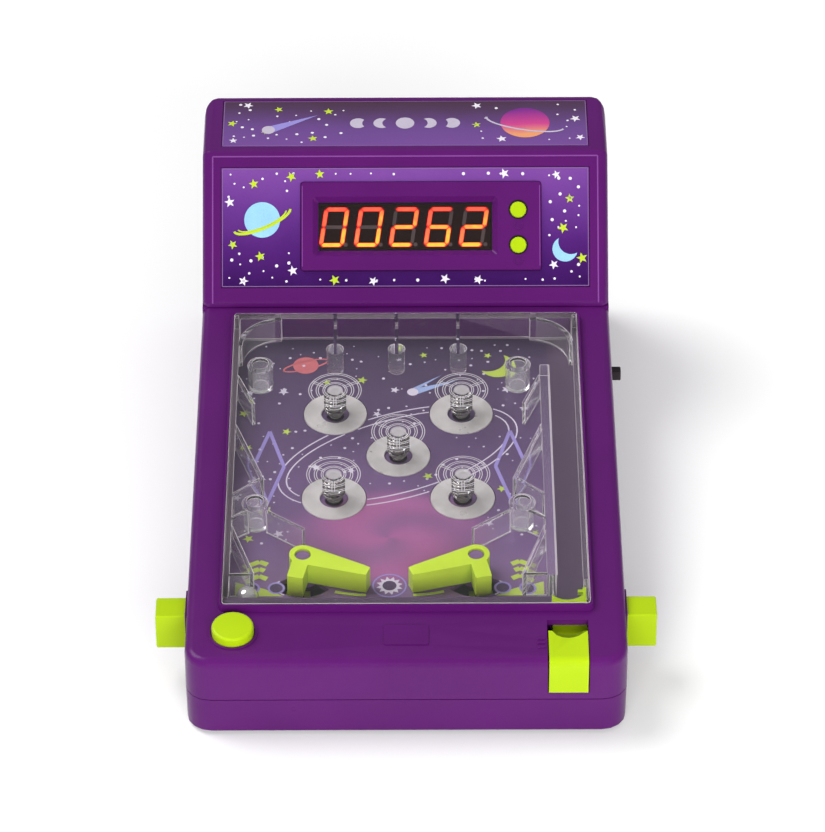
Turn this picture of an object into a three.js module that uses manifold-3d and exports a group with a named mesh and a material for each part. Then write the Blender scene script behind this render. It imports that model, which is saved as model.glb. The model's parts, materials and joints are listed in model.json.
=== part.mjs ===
// Tabletop pinball game: a sloped plastic case with a clear playfield cover, two flippers,
// a spring shooter, five bumpers and a raised head with a number display.
import * as THREE from 'three';
import Module from 'manifold-3d';
import { mergeVertices } from 'three/addons/utils/BufferGeometryUtils.js';

const wasm = await Module();
wasm.setup();
const { degToRad } = THREE.MathUtils;

// All lengths are millimetres. The case frame has x to the right, y back from the front face
// and z up from the underside of the lower shell.

// Clearances and cutting
const gap = 0.3;
const runGap = 0.2;
const overrun = 1;

// Case
const bodyWidth = 147.5;
const cornerRadius = 8.5;
const wall = 2.2;
const footProud = 1.2;
const lowerHeight = 13.5;
const lowerDraft = 0.2;
const lowerFillet = 0.8;
const frontHeight = 29.6;
const deckFillet = 2.8;
const deckReach = 184;
const deckSlope = degToRad(5);

// Head
const faceLength = 58.1;
const faceTilt = degToRad(50);
const topDepth = 34;
const headFillet = 3;
const headFootSetback = 1.5;
const headFootRound = 2.8;
const headBrowRound = 1;
const headBackRound = 2;
const headLip = 2;
const headHoleMargin = 8;

// Deck rails round the playfield window
const railWidth = 11.85;
const frontRail = 25.9;
const rearRail = 4.8;
const rimHeight = 2.5;
const rimFoot = 1.1;
const rimTop = 0.5;
const skirtWall = 1.2;
const windowRadius = 1.5;

// Clear cover
const paneThickness = 2;
const coverWall = 2;
const chamberHeight = 10;
const ribWall = 1.2;
const bowRadius = 15;
const bossRadius = 4.5;
const bossBore = 3;
const bossFloor = 1;
const pinRadius = 3;
const pinPitch = 22.1;
const pinShift = 2.8;
const pinInset = 19.2;
const bossInsetLeft = 8;
const bossInsetRight = 7.8;
const bossFrontShare = 0.3364;
const bossRearShare = 0.8169;
const bumperBossRadius = 2.8;
const bumperBossBore = 1.4;
const bumperBossDrop = 6.5;

// Playfield tray
const trayThickness = 2;
const ledgeWidth = 4.4;
const laneWidth = 8.9;
const laneWall = 3.2;
const laneStart = 15;
const laneEndShare = 0.8156;

// Bumpers
const discRadius = 11.2;
const discHole = 4.95;
const springHole = 3.3;
const discThickness = 0.5;
const bumperShift = 3.4;
const bumperPitchX = 22.4;
const bumperPitchY = 22.55;
const bumperShare = 0.5724;
const coilWire = 0.5;
const coilTopRadius = 4;
const coilTipRadius = 1.8;
const coilTopInset = 0.3;
const coilTipDrop = 1.9;
const coilTaperShare = 0.4;
const coilTurns = 7;

// Flippers
const pivotSpread = 29.5;
const pivotShift = 0.4;
const pivotReach = 27.3;
const pivotPost = 2.5;
const pivotHole = 2.8;
const flipperBoss = 4.6;
const flipperTipRadius = 2.4;
const tipFlatShare = 0.8;
const flipperLength = 23.9;
const flipperHeadroom = 1.4;
const flipperRest = degToRad(21);
const flipperSwing = degToRad(40);
const tailLean = degToRad(12);
const tailLength = 11.9;
const tailWidth = 5.6;
const pegRadius = 1.7;
const pegReach = 8;
const pegDrop = 6;
const fanInner = 5.6;
const fanOuter = 12.3;
const fanLow = degToRad(-151);
const fanHigh = degToRad(-43);

// Side buttons
const buttonProud = 10.7;
const buttonDepth = 10.4;
const buttonHeight = 13.6;
const buttonFront = 27.4;
const buttonBottom = 14.1;
const buttonRound = 0.6;
const collarProud = 0.6;
const collarMargin = 1.6;
const lipThickness = 1.1;
const lipMargin = 1.2;
const tongueHeight = 3.2;
const tongueBottom = 16.2;
const armWidth = 4;
const forkPlay = 0.4;
const forkTine = 2;
const forkReach = 4;

// Return springs
const springWire = 0.7;
const springRadius = 2.2;
const springTurns = 4;
const springLength = 11;
const springBite = 2;
const wellWall = 1.4;
const wellGap = 0.6;
const wellFloor = 1.4;

// Shooter
const leverWidth = 13.1;
const leverShift = 1;
const leverReach = 14.3;
const leverDrop = 12.8;
const leverProud = 0.6;
const leverThickness = 3;
const leverRound = 3;
const slotReach = 20.2;
const slotGap = 0.35;
const dishRadius = 9;
const dishDepth = 2.2;
const shankHeight = 4.4;
const tipWidth = 11.6;
const tipInset = 4.95;
const tipReach = 35;
const tipBack = 6;
const tipHeight = 6.2;
const tipArcRadius = 6.6;
const prongWidth = 1.1;
const prongReach = 3.2;
const hookReach = 1.7;
const hookThickness = 1.2;
const shooterTravel = 12;
const lugThickness = 2.2;
const lugGap = 0.5;

// Ball and its return
const ballRadius = 4;
const ballFromWall = 6.3;
const ballReach = 10.6;
const roundButtonRadius = 7.1;
const roundButtonProud = 3.5;
const roundButtonDome = 0.9;
const roundButtonInset = 15.95;
const roundButtonReach = 14.4;
const roundButtonTravel = 3;
const roundButtonFlange = 1.2;
const roundCollarRadius = 8.3;
const roundCollarProud = 0.4;
const roundStemRadius = 1.8;
const rockerWidth = 5;
const rockerThickness = 3;
const rockerPivotReach = 30.7;
const rockerPin = 1;
const rockerPinLength = 13;
const padRadius = 1.6;
const padPlay = 1.2;
const earThickness = 2;
const rockerRoom = 1.6;

// Display and its buttons
const labelWidth = 133.5;
const labelLow = 8.4;
const labelHigh = 52;
const labelThickness = 0.3;
const labelRecess = 0.6;
const topLabelMargin = 3.1;
const topLabelDepth = 27.5;
const bezelLeft = -37.8;
const bezelRight = 49.2;
const bezelLow = 14.4;
const bezelHigh = 46.6;
const bezelProud = 1.2;
const bezelRound = 1.2;
const windowWide = 63.2;
const windowTall = 17.6;
const funnelFlare = 2.1;
const funnelDepth = 2;
const lensThickness = 1.2;
const lensMargin = 1.6;
const digitBlockWide = 62.6;
const digitBlockTall = 17;
const digitBlockDeep = 8;
const boardThickness = 1.6;
const boardMargin = 3;
const boardBelowDigits = 2.6;
const keyRadius = 3;
const keyX = 41;
const keyHigh = 36.3;
const keyLow = 23.4;
const keyProud = 0.7;
const keyFlange = 1.1;
const keyFlangeThickness = 1;
const keyStem = 1.5;
const keyTravel = 0.8;
const tactSize = 6;
const tactHeight = 1.5;
const plungerProud = 0.4;
const displayPost = 2;

// Slide switch
const switchToHead = 18;
const switchRise = 0.2;
const knobLong = 3.6;
const knobTall = 3.7;
const knobProud = 3.9;
const knobTravel = 4;
const sliderThickness = 1.6;
const switchLong = 14;
const switchTall = 7;
const switchDeep = 4.2;
const railThickness = 2;

// Battery compartment
const cellRadius = 7.25;
const cellLength = 50.5;
const cellNub = 1;
const cellNubRadius = 2.8;
const cellCount = 3;
const cellPlay = 0.4;
const bayReach = 92;
const bayWall = 1.6;
const contactThickness = 0.5;
const contactHeight = 10;
const contactRoom = 0.8;
const doorThickness = 1.8;
const doorLedge = 2.2;
const doorTab = 9;

// Boards, speaker, feet and screws
const mainBoardWide = 64;
const mainBoardDeep = 30;
const mainBoardToBay = 3.4;
const mainBoardLevel = 7;
const boardPost = 2.4;
const chipSize = 11;
const chipHeight = 1.4;
const speakerRadius = 20;
const speakerInset = 42.5;
const speakerHeight = 6;
const speakerMagnet = 9;
const speakerMagnetHeight = 4;
const speakerRing = 1.6;
const grilleSlots = 5;
const grillePitch = 5;
const grilleWidth = 2;
const grilleLength = 26;
const footRadius = 5;
const footSink = 1.2;
const footInset = 16;
const screwRadius = 1.5;
const screwHead = 2.8;
const screwHeadHeight = 1.8;
const screwLength = 15;
const doorScrewLength = 7;
const screwSlot = 0.8;
const screwPost = 3.1;
const screwSink = 1.2;
const screwInset = 5;
const screwFrontReach = 62;
const screwRearInset = 48.5;
const trayPostRadius = 3;
const trayPostInset = 12;
const trayPostFront = 48;
const trayPostRearShare = 0.909;

// Small embossed details on the front deck
const plateWidth = 15;
const plateDepth = 9.6;
const plateReach = 8.2;
const plateProud = 0.35;
const plateRound = 0.8;
const ridgeWidth = 0.8;
const ridgeLength = 2.6;
const ridgePitch = 2;
const ridgeCount = 3;
const ridgeProud = 0.4;
const ridgeReach = 6.6;
const ridgeGap = 0.8;

// Smoothness: how many straight steps make an arc
const cornerSteps = 4;
const filletSteps = 3;
const roundSteps = 24;
const bossSteps = 16;
const smallSteps = 12;
const bowSteps = 8;

// Sizes worked out from the driving ones
const halfWidth = bodyWidth / 2;
const slopeRise = Math.tan(deckSlope);
const deckLength = deckReach / Math.cos(deckSlope);
const faceBaseZ = frontHeight + deckReach * slopeRise;
const browY = deckReach + faceLength * Math.cos(faceTilt);
const browZ = faceBaseZ + faceLength * Math.sin(faceTilt);
const bodyDepth = browY + topDepth * Math.cos(deckSlope);
const paneHalf = halfWidth - railWidth;
const windowRear = deckLength - rearRail;
const windowLong = windowRear - frontRail;
const paneBottom = rimHeight - paneThickness;
const floorLevel = paneBottom - chamberHeight;
const trayBottom = floorLevel - trayThickness;
const hangBottom = floorLevel + gap;
const ledgeRear = frontRail + ledgeWidth;
const fieldLeft = -paneHalf + coverWall;
const fieldRight = paneHalf - coverWall - laneWidth - laneWall;
const fieldCentre = (fieldLeft + fieldRight) / 2;
const tipCentre = paneHalf - coverWall - tipInset;
const pivotY = frontRail + pivotReach;
const pegBottom = trayBottom - pegDrop;
const channelY = frontRail + ballReach;
const ballX = fieldLeft + ballFromWall;
const leverCentre = tipCentre - leverShift;
const springOuter = springRadius + springWire / 2;
const speakerReach = bodyDepth - speakerInset;
const screwRearReach = bodyDepth - screwRearInset;
const mainBoardReach = bayReach - bayWall - mainBoardToBay - mainBoardDeep;
const switchReach = deckReach - switchToHead;
const switchLevel = frontHeight + switchRise;
const wellBore = springOuter + wellGap / 2;

// Solids

function toSolid(geometry) {
  const bare = geometry.index ? geometry.toNonIndexed() : geometry.clone();
  bare.deleteAttribute('normal');
  bare.deleteAttribute('uv');
  const merged = mergeVertices(bare, 1e-4);
  const mesh = new wasm.Mesh({
    numProp: 3,
    vertProperties: new Float32Array(merged.attributes.position.array),
    triVerts: new Uint32Array(merged.index.array),
  });
  return new wasm.Manifold(mesh);
}

function toGeometry(solid) {
  const mesh = solid.getMesh();
  const geometry = new THREE.BufferGeometry();
  const points = new Float32Array(mesh.vertProperties);
  geometry.setAttribute('position', new THREE.BufferAttribute(points, 3));
  geometry.setIndex(new THREE.BufferAttribute(new Uint32Array(mesh.triVerts), 1));
  return geometry;
}

function join(first, ...others) {
  return others.reduce((whole, piece) => whole.add(piece), first);
}

function cut(first, ...others) {
  return others.reduce((whole, piece) => whole.subtract(piece), first);
}

// A box between two corners.
function box(x0, x1, y0, y1, z0, z1) {
  const geometry = new THREE.BoxGeometry(x1 - x0, y1 - y0, z1 - z0);
  geometry.translate((x0 + x1) / 2, (y0 + y1) / 2, (z0 + z1) / 2);
  return toSolid(geometry);
}

// An upright round bar between two heights.
function rod(x, y, z0, z1, radius, steps = smallSteps) {
  const geometry = new THREE.CylinderGeometry(radius, radius, z1 - z0, steps);
  geometry.rotateX(Math.PI / 2);
  geometry.translate(x, y, (z0 + z1) / 2);
  return toSolid(geometry);
}

// A round bar lying along x.
function crossRod(x0, x1, y, z, radius, steps = smallSteps) {
  const geometry = new THREE.CylinderGeometry(radius, radius, x1 - x0, steps);
  geometry.rotateZ(Math.PI / 2);
  geometry.translate((x0 + x1) / 2, y, z);
  return toSolid(geometry);
}

// An outline through corners [x, y, radius], each rounded by its radius.
function outline(corners) {
  const shape = new THREE.Shape();
  corners.forEach(([x, y, radius = 0], index) => {
    const here = new THREE.Vector2(x, y);
    const [bx, by] = corners[(index + corners.length - 1) % corners.length];
    const [nx, ny] = corners[(index + 1) % corners.length];
    const back = new THREE.Vector2(bx, by).sub(here).normalize();
    const ahead = new THREE.Vector2(nx, ny).sub(here).normalize();
    const half = Math.acos(THREE.MathUtils.clamp(back.dot(ahead), -1, 1)) / 2;
    const run = radius / Math.tan(half);
    const from = here.clone().addScaledVector(back, run);
    const to = here.clone().addScaledVector(ahead, run);
    if (index === 0) {
      shape.moveTo(from.x, from.y);
    } else {
      shape.lineTo(from.x, from.y);
    }
    if (radius > 0) {
      shape.quadraticCurveTo(here.x, here.y, to.x, to.y);
    }
  });
  shape.closePath();
  return shape;
}

function rectangle(x0, x1, y0, y1, radius = 0) {
  return outline([[x0, y0, radius], [x1, y0, radius], [x1, y1, radius], [x0, y1, radius]]);
}

// A flat plate with the given outline between two heights.
function plate(shape, z0, z1, steps = cornerSteps) {
  const settings = { depth: z1 - z0, bevelEnabled: false, curveSegments: steps };
  const geometry = new THREE.ExtrudeGeometry(shape, settings);
  geometry.translate(0, 0, z0);
  return toSolid(geometry);
}

// A side profile in (y, z), drawn out along x.
function sideways(shape, x0, x1, steps = cornerSteps) {
  const settings = { depth: x1 - x0, bevelEnabled: false, curveSegments: steps };
  return toSolid(turnedSideways(new THREE.ExtrudeGeometry(shape, settings), x0));
}

function turnedSideways(geometry, x0) {
  geometry.applyMatrix4(new THREE.Matrix4().set(0, 0, 1, x0, 1, 0, 0, 0, 0, 1, 0, 0, 0, 0, 0, 1));
  return geometry;
}

// Rings of a rounded rectangle, one per [z, inset], joined into a closed body.
function stack(x0, x1, y0, y1, radius, levels, steps = cornerSteps) {
  const rings = levels.map(([z, inset]) => {
    const turn = Math.max(radius - inset, overrun / 2);
    const left = x0 + inset + turn;
    const right = x1 - inset - turn;
    const front = y0 + inset + turn;
    const back = y1 - inset - turn;
    const centres = [[right, back], [left, back], [left, front], [right, front]];
    const ring = [];
    centres.forEach(([cx, cy], quarter) => {
      for (let step = 0; step <= steps; step += 1) {
        const angle = (quarter + step / steps) * Math.PI / 2;
        ring.push([cx + turn * Math.cos(angle), cy + turn * Math.sin(angle), z]);
      }
    });
    return ring;
  });
  return toSolid(skin(rings));
}

// Faces between rings of equal count, closed by a fan at each end.
function skin(rings) {
  const count = rings[0].length;
  const points = rings.flat(2);
  const faces = [];
  for (let ring = 0; ring + 1 < rings.length; ring += 1) {
    for (let at = 0; at < count; at += 1) {
      const a = ring * count + at;
      const b = ring * count + (at + 1) % count;
      faces.push(a, b, b + count, a, b + count, a + count);
    }
  }
  const last = (rings.length - 1) * count;
  for (let at = 1; at + 1 < count; at += 1) {
    faces.push(0, at + 1, at);
    faces.push(last, last + at, last + at + 1);
  }
  const geometry = new THREE.BufferGeometry();
  geometry.setAttribute('position', new THREE.Float32BufferAttribute(points, 3));
  geometry.setIndex(faces);
  return geometry;
}

// Places between the case frame, the deck frame and the face frame.
// The deck frame starts at the deck's front edge, with y up the slope and z square to it.
const deckMatrix = new THREE.Matrix4().makeRotationX(deckSlope);
deckMatrix.setPosition(0, 0, frontHeight);
const faceMatrix = new THREE.Matrix4().makeRotationX(faceTilt);
faceMatrix.setPosition(0, deckReach, faceBaseZ);
const topMatrix = new THREE.Matrix4().makeRotationX(deckSlope);
topMatrix.setPosition(0, browY, browZ);

function moved(solid, matrix) {
  return solid.transform(matrix.elements);
}

function deckPoint(along, up) {
  const point = new THREE.Vector3(0, along, up).applyMatrix4(deckMatrix);
  return [point.y, point.z];
}

// Scene pieces

const game = new THREE.Group();
const deckGroup = new THREE.Group();
const faceGroup = new THREE.Group();
const topGroup = new THREE.Group();
game.position.set(0, -(bodyDepth - leverProud) / 2, footProud);
deckGroup.position.set(0, 0, frontHeight);
deckGroup.rotation.x = deckSlope;
faceGroup.position.set(0, deckReach, faceBaseZ);
faceGroup.rotation.x = faceTilt;
topGroup.position.set(0, browY, browZ);
topGroup.rotation.x = deckSlope;
game.add(deckGroup, faceGroup, topGroup);

const finishes = {
  purple: { color: 0x5e2369, roughness: 0.3 },
  lime: { color: 0xb9dd12, roughness: 0.35 },
  clear: { color: 0xdfe2ea, roughness: 0.05, transparent: true, opacity: 0.35 },
  tray: { color: 0x64526d, roughness: 0.5 },
  steel: { color: 0xc8c8c8, roughness: 0.25, metalness: 1 },
  black: { color: 0x201418, roughness: 0.5 },
  rubber: { color: 0x26242a, roughness: 0.9 },
  board: { color: 0x2e6b3c, roughness: 0.6 },
  lens: { color: 0x2a0406, roughness: 0.05, transparent: true, opacity: 0.6 },
  digits: { color: 0xe8e6e0, roughness: 0.5 },
  label: { color: 0x6b3f9a, roughness: 0.35 },
  cell: { color: 0x8e8e93, roughness: 0.4, metalness: 0.3 },
};

function piece(parent, name, geometry, finish) {
  const mesh = new THREE.Mesh(geometry, new THREE.MeshStandardMaterial(finishes[finish]));
  mesh.name = name;
  parent.add(mesh);
  return mesh;
}

function solidPiece(parent, name, solid, finish) {
  return piece(parent, name, toGeometry(solid), finish);
}

// Case shells

// Places of the screws that hold the two shells together.
const screwSpots = [screwFrontReach, screwRearReach].flatMap((y) => (
  [-1, 1].map((side) => [side * (halfWidth - screwInset), y])));

function filletLevels(top, fillet) {
  const levels = [];
  for (let step = 0; step <= filletSteps; step += 1) {
    const turn = (step / filletSteps) * Math.PI / 2;
    levels.push([top - fillet + fillet * Math.sin(turn), fillet * (1 - Math.cos(turn))]);
  }
  return levels;
}

// Lifts an upright block to the slope of the deck.
function sheared(solid) {
  const matrix = new THREE.Matrix4().set(1, 0, 0, 0, 0, 1, 0, 0, 0, slopeRise, 1, 0, 0, 0, 0, 1);
  return moved(solid, matrix);
}

function caseBlock(inset, bottom, top, levels) {
  const span = [-halfWidth + inset, halfWidth - inset, inset, bodyDepth - inset];
  return stack(...span, cornerRadius - inset, levels ?? [[bottom, 0], [top, 0]]);
}

function deckHalfSpace(level) {
  const reach = 2 * bodyDepth;
  return moved(box(-reach, reach, -reach, reach, level, reach), deckMatrix);
}

function upperOutside() {
  const fillet = filletLevels(frontHeight, deckFillet);
  const base = -bodyDepth * slopeRise - lowerHeight;
  const rounded = sheared(caseBlock(0, 0, 0, [[base, 0], ...fillet]));
  const straight = sheared(caseBlock(0, base, frontHeight));
  const rear = box(-bodyWidth, bodyWidth, deckReach + headFootSetback, 2 * bodyDepth, 0, bodyDepth);
  return join(rounded, straight.intersect(rear));
}

function rim() {
  const half = paneHalf + gap;
  return stack(
    -half - rimFoot, half + rimFoot, frontRail - gap - rimFoot, windowRear + gap + rimFoot,
    windowRadius + rimFoot, [[-wall / 2, 0], [0, 0], [rimHeight, rimFoot - rimTop]]);
}

function windowHole(margin, low, high) {
  const half = paneHalf + gap + margin;
  const shape = rectangle(-half, half, frontRail - gap - margin, windowRear + gap + margin,
    windowRadius + margin);
  return plate(shape, low, high);
}

function skirt() {
  return cut(
    windowHole(skirtWall, trayBottom + gap, -wall / 2),
    windowHole(0, trayBottom - overrun, rimHeight + overrun));
}

function frontDetails() {
  const badge = plate(
    rectangle(-plateWidth / 2, plateWidth / 2, plateReach, plateReach + plateDepth, plateRound),
    -wall / 2, plateProud);
  const collar = rod(-halfWidth + roundButtonInset, roundButtonReach, -wall / 2, roundCollarProud,
    roundCollarRadius, roundSteps);
  const right = leverCentre - leverWidth / 2 - slotGap - ridgeGap;
  const ridges = [];
  for (let count = 0; count < ridgeCount; count += 1) {
    const y = ridgeReach + count * ridgePitch;
    ridges.push(box(right - ridgeLength, right, y, y + ridgeWidth, -wall / 2, ridgeProud));
  }
  return moved(join(badge, collar, ...ridges), deckMatrix);
}

function buttonHole(side, margin, inner, outer) {
  const x = [side * inner, side * outer].sort((a, b) => a - b);
  return box(...x, buttonFront - margin, buttonFront + buttonDepth + margin,
    buttonBottom - margin, buttonBottom + buttonHeight + margin);
}

function leverSlot() {
  const half = leverWidth / 2 + slotGap;
  const [rearY] = deckPoint(slotReach, 0);
  const bottom = frontHeight - leverDrop - slotGap;
  const opening = box(leverCentre - half, leverCentre + half, -overrun, wall + overrun, bottom,
    2 * frontHeight);
  const top = box(leverCentre - half, leverCentre + half, -overrun, rearY,
    frontHeight - shankHeight - leverThickness, 2 * frontHeight);
  return join(opening, top);
}

// The way under the deck through which the shooter's shank slides.
function shankWay(low, high) {
  const half = tipWidth / 2 + 2 * gap;
  return box(tipCentre - half, tipCentre + half, 0, ledgeRear + overrun, low, high);
}

function switchCuts() {
  const low = switchReach - knobLong / 2 - knobTravel - gap;
  const high = switchReach + knobLong / 2 + gap;
  return box(halfWidth - wall - overrun, halfWidth + overrun, low, high,
    switchLevel - knobTall / 2 - gap, switchLevel + knobTall / 2 + gap);
}

function switchRails() {
  const centre = switchReach - knobTravel / 2;
  const inner = halfWidth - wall - sliderThickness - 2 * gap - switchDeep;
  const bottom = switchLevel - switchTall / 2;
  const top = switchLevel + switchTall / 2;
  const rails = [-1, 1].map((side) => {
    const near = centre + side * (switchLong / 2 + gap);
    const far = near + side * railThickness;
    return box(inner, halfWidth - wall / 2, Math.min(near, far), Math.max(near, far), bottom, top);
  });
  return join(...rails);
}

function screwBosses() {
  const bosses = screwSpots.map(([x, y]) => {
    const top = frontHeight + y * slopeRise - wall / 2;
    return rod(x, y, lowerHeight + gap, top, screwPost);
  });
  return join(...bosses);
}

function screwHoles() {
  return join(...screwSpots.map(([x, y]) => rod(
    x, y, lowerHeight - overrun, screwSink + screwLength + gap + screwHeadHeight,
    screwRadius + runGap)));
}

function headHole() {
  return box(-halfWidth + headHoleMargin, halfWidth - headHoleMargin,
    deckReach + 2 * headHoleMargin, bodyDepth - headHoleMargin, 0, bodyDepth);
}

function upperShell() {
  const inside = sheared(caseBlock(wall, -bodyDepth, frontHeight - wall));
  const hollow = cut(upperOutside(), inside);
  const deckParts = moved(join(rim(), skirt()), deckMatrix);
  const collars = [-1, 1].map((side) => (
    buttonHole(side, collarMargin, halfWidth - wall / 2, halfWidth + collarProud)));
  const solid = join(hollow, deckParts, frontDetails(), ...collars, screwBosses(), switchRails());
  const buttonCuts = [-1, 1].map((side) => (
    buttonHole(side, gap, halfWidth - wall - overrun, halfWidth + overrun)));
  const roundHole = rod(-halfWidth + roundButtonInset, roundButtonReach, -2 * wall,
    roundCollarProud + overrun, roundButtonRadius + gap, roundSteps);
  const deckCuts = join(windowHole(0, trayBottom - overrun, rimHeight + overrun), roundHole,
    shankWay(trayBottom - overrun, -wall - gap));
  const below = box(-bodyWidth, bodyWidth, -bodyDepth, 2 * bodyDepth, -bodyDepth, lowerHeight + gap);
  return cut(solid, moved(deckCuts, deckMatrix), ...buttonCuts, leverSlot(), switchCuts(),
    screwHoles(), headHole(), below);
}

// Lower shell

const bayLength = cellLength + cellNub + 2 * (contactThickness + contactRoom);
const cellPitch = 2 * cellRadius + cellPlay;
const bayDepth = cellCount * cellPitch + cellPlay;
const bayTop = doorThickness + gap + 2 * cellRadius + cellPlay;
const doorY = [bayReach - doorLedge, bayReach + bayDepth + doorLedge];
const doorHalf = bayLength / 2 + doorLedge;
const doorScrewY = doorY[1] + doorTab / 2;

function batteryBay() {
  return box(-bayLength / 2 - bayWall, bayLength / 2 + bayWall, bayReach - bayWall,
    bayReach + bayDepth + bayWall, wall / 2, bayTop + bayWall);
}

function batteryCuts() {
  const cells = box(-bayLength / 2, bayLength / 2, bayReach, bayReach + bayDepth, -overrun, bayTop);
  return join(cells, doorSeat(gap, doorThickness + gap));
}

function doorSeat(margin, height) {
  const cover = box(-doorHalf - margin, doorHalf + margin, doorY[0] - margin, doorY[1] + margin,
    margin > 0 ? -overrun : 0, height);
  const tab = box(-doorTab / 2 - margin, doorTab / 2 + margin, doorY[1] - overrun,
    doorY[1] + doorTab + margin, margin > 0 ? -overrun : 0, height);
  return join(cover, tab);
}

function doorScrewPost() {
  return rod(0, doorScrewY, wall / 2, doorThickness + doorScrewLength + wall, screwPost);
}

function grille() {
  const slots = [];
  for (let count = 0; count < grilleSlots; count += 1) {
    const x = (count - (grilleSlots - 1) / 2) * grillePitch;
    slots.push(box(x - grilleWidth / 2, x + grilleWidth / 2, speakerReach - grilleLength / 2,
      speakerReach + grilleLength / 2, -overrun, wall + overrun));
  }
  return join(...slots);
}

const footSpots = [-1, 1].flatMap((side) => [footInset, bodyDepth - footInset].map((y) => (
  [side * (halfWidth - footInset), y])));

// A block standing on the floor with a bore that a spring slides into.
function springWell(x0, x1, y, z) {
  const half = wellBore + wellWall;
  const open = Math.abs(x0) > Math.abs(x1) ? x0 : x1;
  const blind = open === x0 ? x1 : x0;
  const end = blind + Math.sign(open - blind) * wellFloor;
  const block = box(Math.min(x0, x1), Math.max(x0, x1), y - half, y + half, wall / 2, z + half);
  const outer = open + Math.sign(open - blind) * overrun;
  return cut(block, crossRod(Math.min(outer, end), Math.max(outer, end), y, z, wellBore));
}

// Side buttons

const buttonInner = halfWidth - wall - gap;
const [pegY] = deckPoint(pivotY - pegReach * Math.cos(tailLean), (trayBottom + pegBottom) / 2);
const armRear = pegY - pegRadius - forkPlay;
const buttonTravel = pegReach * (Math.sin(flipperSwing - tailLean) + Math.sin(tailLean));
const sideSpringY = pegY + forkReach + springOuter + wellWall;
const sideSpringZ = tongueBottom + tongueHeight / 2;
const pivotMiddle = fieldCentre + pivotShift;
const pivots = { left: pivotMiddle - pivotSpread, right: pivotMiddle + pivotSpread };

function sideOf(name) {
  return name === 'left' ? -1 : 1;
}

function pegX(name) {
  return pivots[name] + sideOf(name) * pegReach * Math.sin(tailLean);
}

function spanX(a, b) {
  return [Math.min(a, b), Math.max(a, b)];
}

function sideButton(name) {
  const side = sideOf(name);
  const outer = halfWidth + buttonProud;
  const shape = outline([
    [buttonFront, buttonBottom, buttonRound],
    [buttonFront + buttonDepth, buttonBottom, buttonRound],
    [buttonFront + buttonDepth, buttonBottom + buttonHeight, buttonRound],
    [buttonFront, buttonBottom + buttonHeight, buttonRound],
  ]);
  const settings = { depth: outer - buttonInner - buttonRound, bevelEnabled: true,
    bevelThickness: buttonRound, bevelSize: buttonRound, bevelOffset: -buttonRound,
    bevelSegments: 2, curveSegments: 2 };
  const capGeometry = turnedSideways(new THREE.ExtrudeGeometry(shape, settings), buttonInner);
  const cap = toSolid(capGeometry);
  const capTrim = box(0, buttonInner - lipThickness / 2, 0, bodyDepth, 0, bodyDepth);
  const lip = box(buttonInner - lipThickness, buttonInner, buttonFront - lipMargin,
    buttonFront + buttonDepth + lipMargin, buttonBottom - lipMargin,
    buttonBottom + buttonHeight + lipMargin);
  const top = tongueBottom + tongueHeight;
  const springSide = sideSpringY + springOuter;
  const bridge = box(buttonInner - 2 * lipThickness, buttonInner,
    buttonFront + buttonDepth - armWidth, springSide, tongueBottom, top);
  const right = join(cut(cap, capTrim), lip, bridge);
  const placed = side > 0 ? right : moved(right, new THREE.Matrix4().makeScale(-1, 1, 1));
  const fork = pegX(name);
  const far = fork - side * (pegRadius + forkPlay + forkTine);
  const arm = box(...spanX(side * (buttonInner - lipThickness), far), armRear - armWidth, armRear,
    tongueBottom, top);
  const near = fork + side * (pegRadius + forkPlay + forkTine);
  const tines = box(...spanX(far, near), armRear - armWidth, pegY + forkReach, tongueBottom, top);
  const slot = box(fork - pegRadius - forkPlay, fork + pegRadius + forkPlay, armRear,
    pegY + forkReach + overrun, tongueBottom - overrun, top + overrun);
  return cut(join(placed, arm, tines), slot);
}

function sideWell(name) {
  const side = sideOf(name);
  const start = buttonInner - 2 * lipThickness - gap - springLength;
  const mouth = side * (start + springBite);
  const depth = springBite + buttonTravel + gap + wellFloor;
  return springWell(mouth, mouth - side * depth, sideSpringY, sideSpringZ);
}

// A spring along its own z, its ends cut square, with its lower end at zero. It widens from
// its low radius to its high one over the taper's share of its length.
function coil(length, lowRadius, highRadius, taperShare, turns, wire, name) {
  const stepsPerTurn = 8;
  const sides = 5;
  const half = wire / 2;
  const steps = turns * stepsPerTurn;
  const centres = [];
  for (let step = 0; step <= steps; step += 1) {
    const share = step / steps;
    const angle = 2 * Math.PI * turns * share;
    const widened = Math.min(1, share / taperShare);
    const radius = lowRadius + (highRadius - lowRadius) * widened - half;
    const height = half + (length - wire) * share;
    centres.push(new THREE.Vector3(radius * Math.cos(angle), radius * Math.sin(angle), height));
  }
  const rings = centres.map((centre, step) => {
    const angle = 2 * Math.PI * turns * step / steps;
    const out = new THREE.Vector3(Math.cos(angle), Math.sin(angle), 0);
    const up = new THREE.Vector3(0, 0, 1);
    const ring = [];
    for (let side = 0; side < sides; side += 1) {
      const turn = 2 * Math.PI * side / sides;
      const point = centre.clone();
      point.addScaledVector(out, half * Math.cos(turn));
      point.addScaledVector(up, half * Math.sin(turn));
      ring.push(point.toArray());
    }
    return ring.reverse();
  });
  console.log(`${name}: least gap to itself ${leastGap(centres, stepsPerTurn, wire).toFixed(2)} mm`);
  return skin(rings);
}

// A return spring of the shared gauge, as wide at both ends.
function evenCoil(length, name) {
  return coil(length, springOuter, springOuter, 1, springTurns, springWire, name);
}

// The least distance between points at least half a turn apart, less the wire.
function leastGap(points, stepsPerTurn, wire) {
  let least = Infinity;
  points.forEach((point, index) => {
    for (let other = index + stepsPerTurn / 2; other < points.length; other += 1) {
      least = Math.min(least, point.distanceTo(points[other]));
    }
  });
  return least - wire;
}

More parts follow.
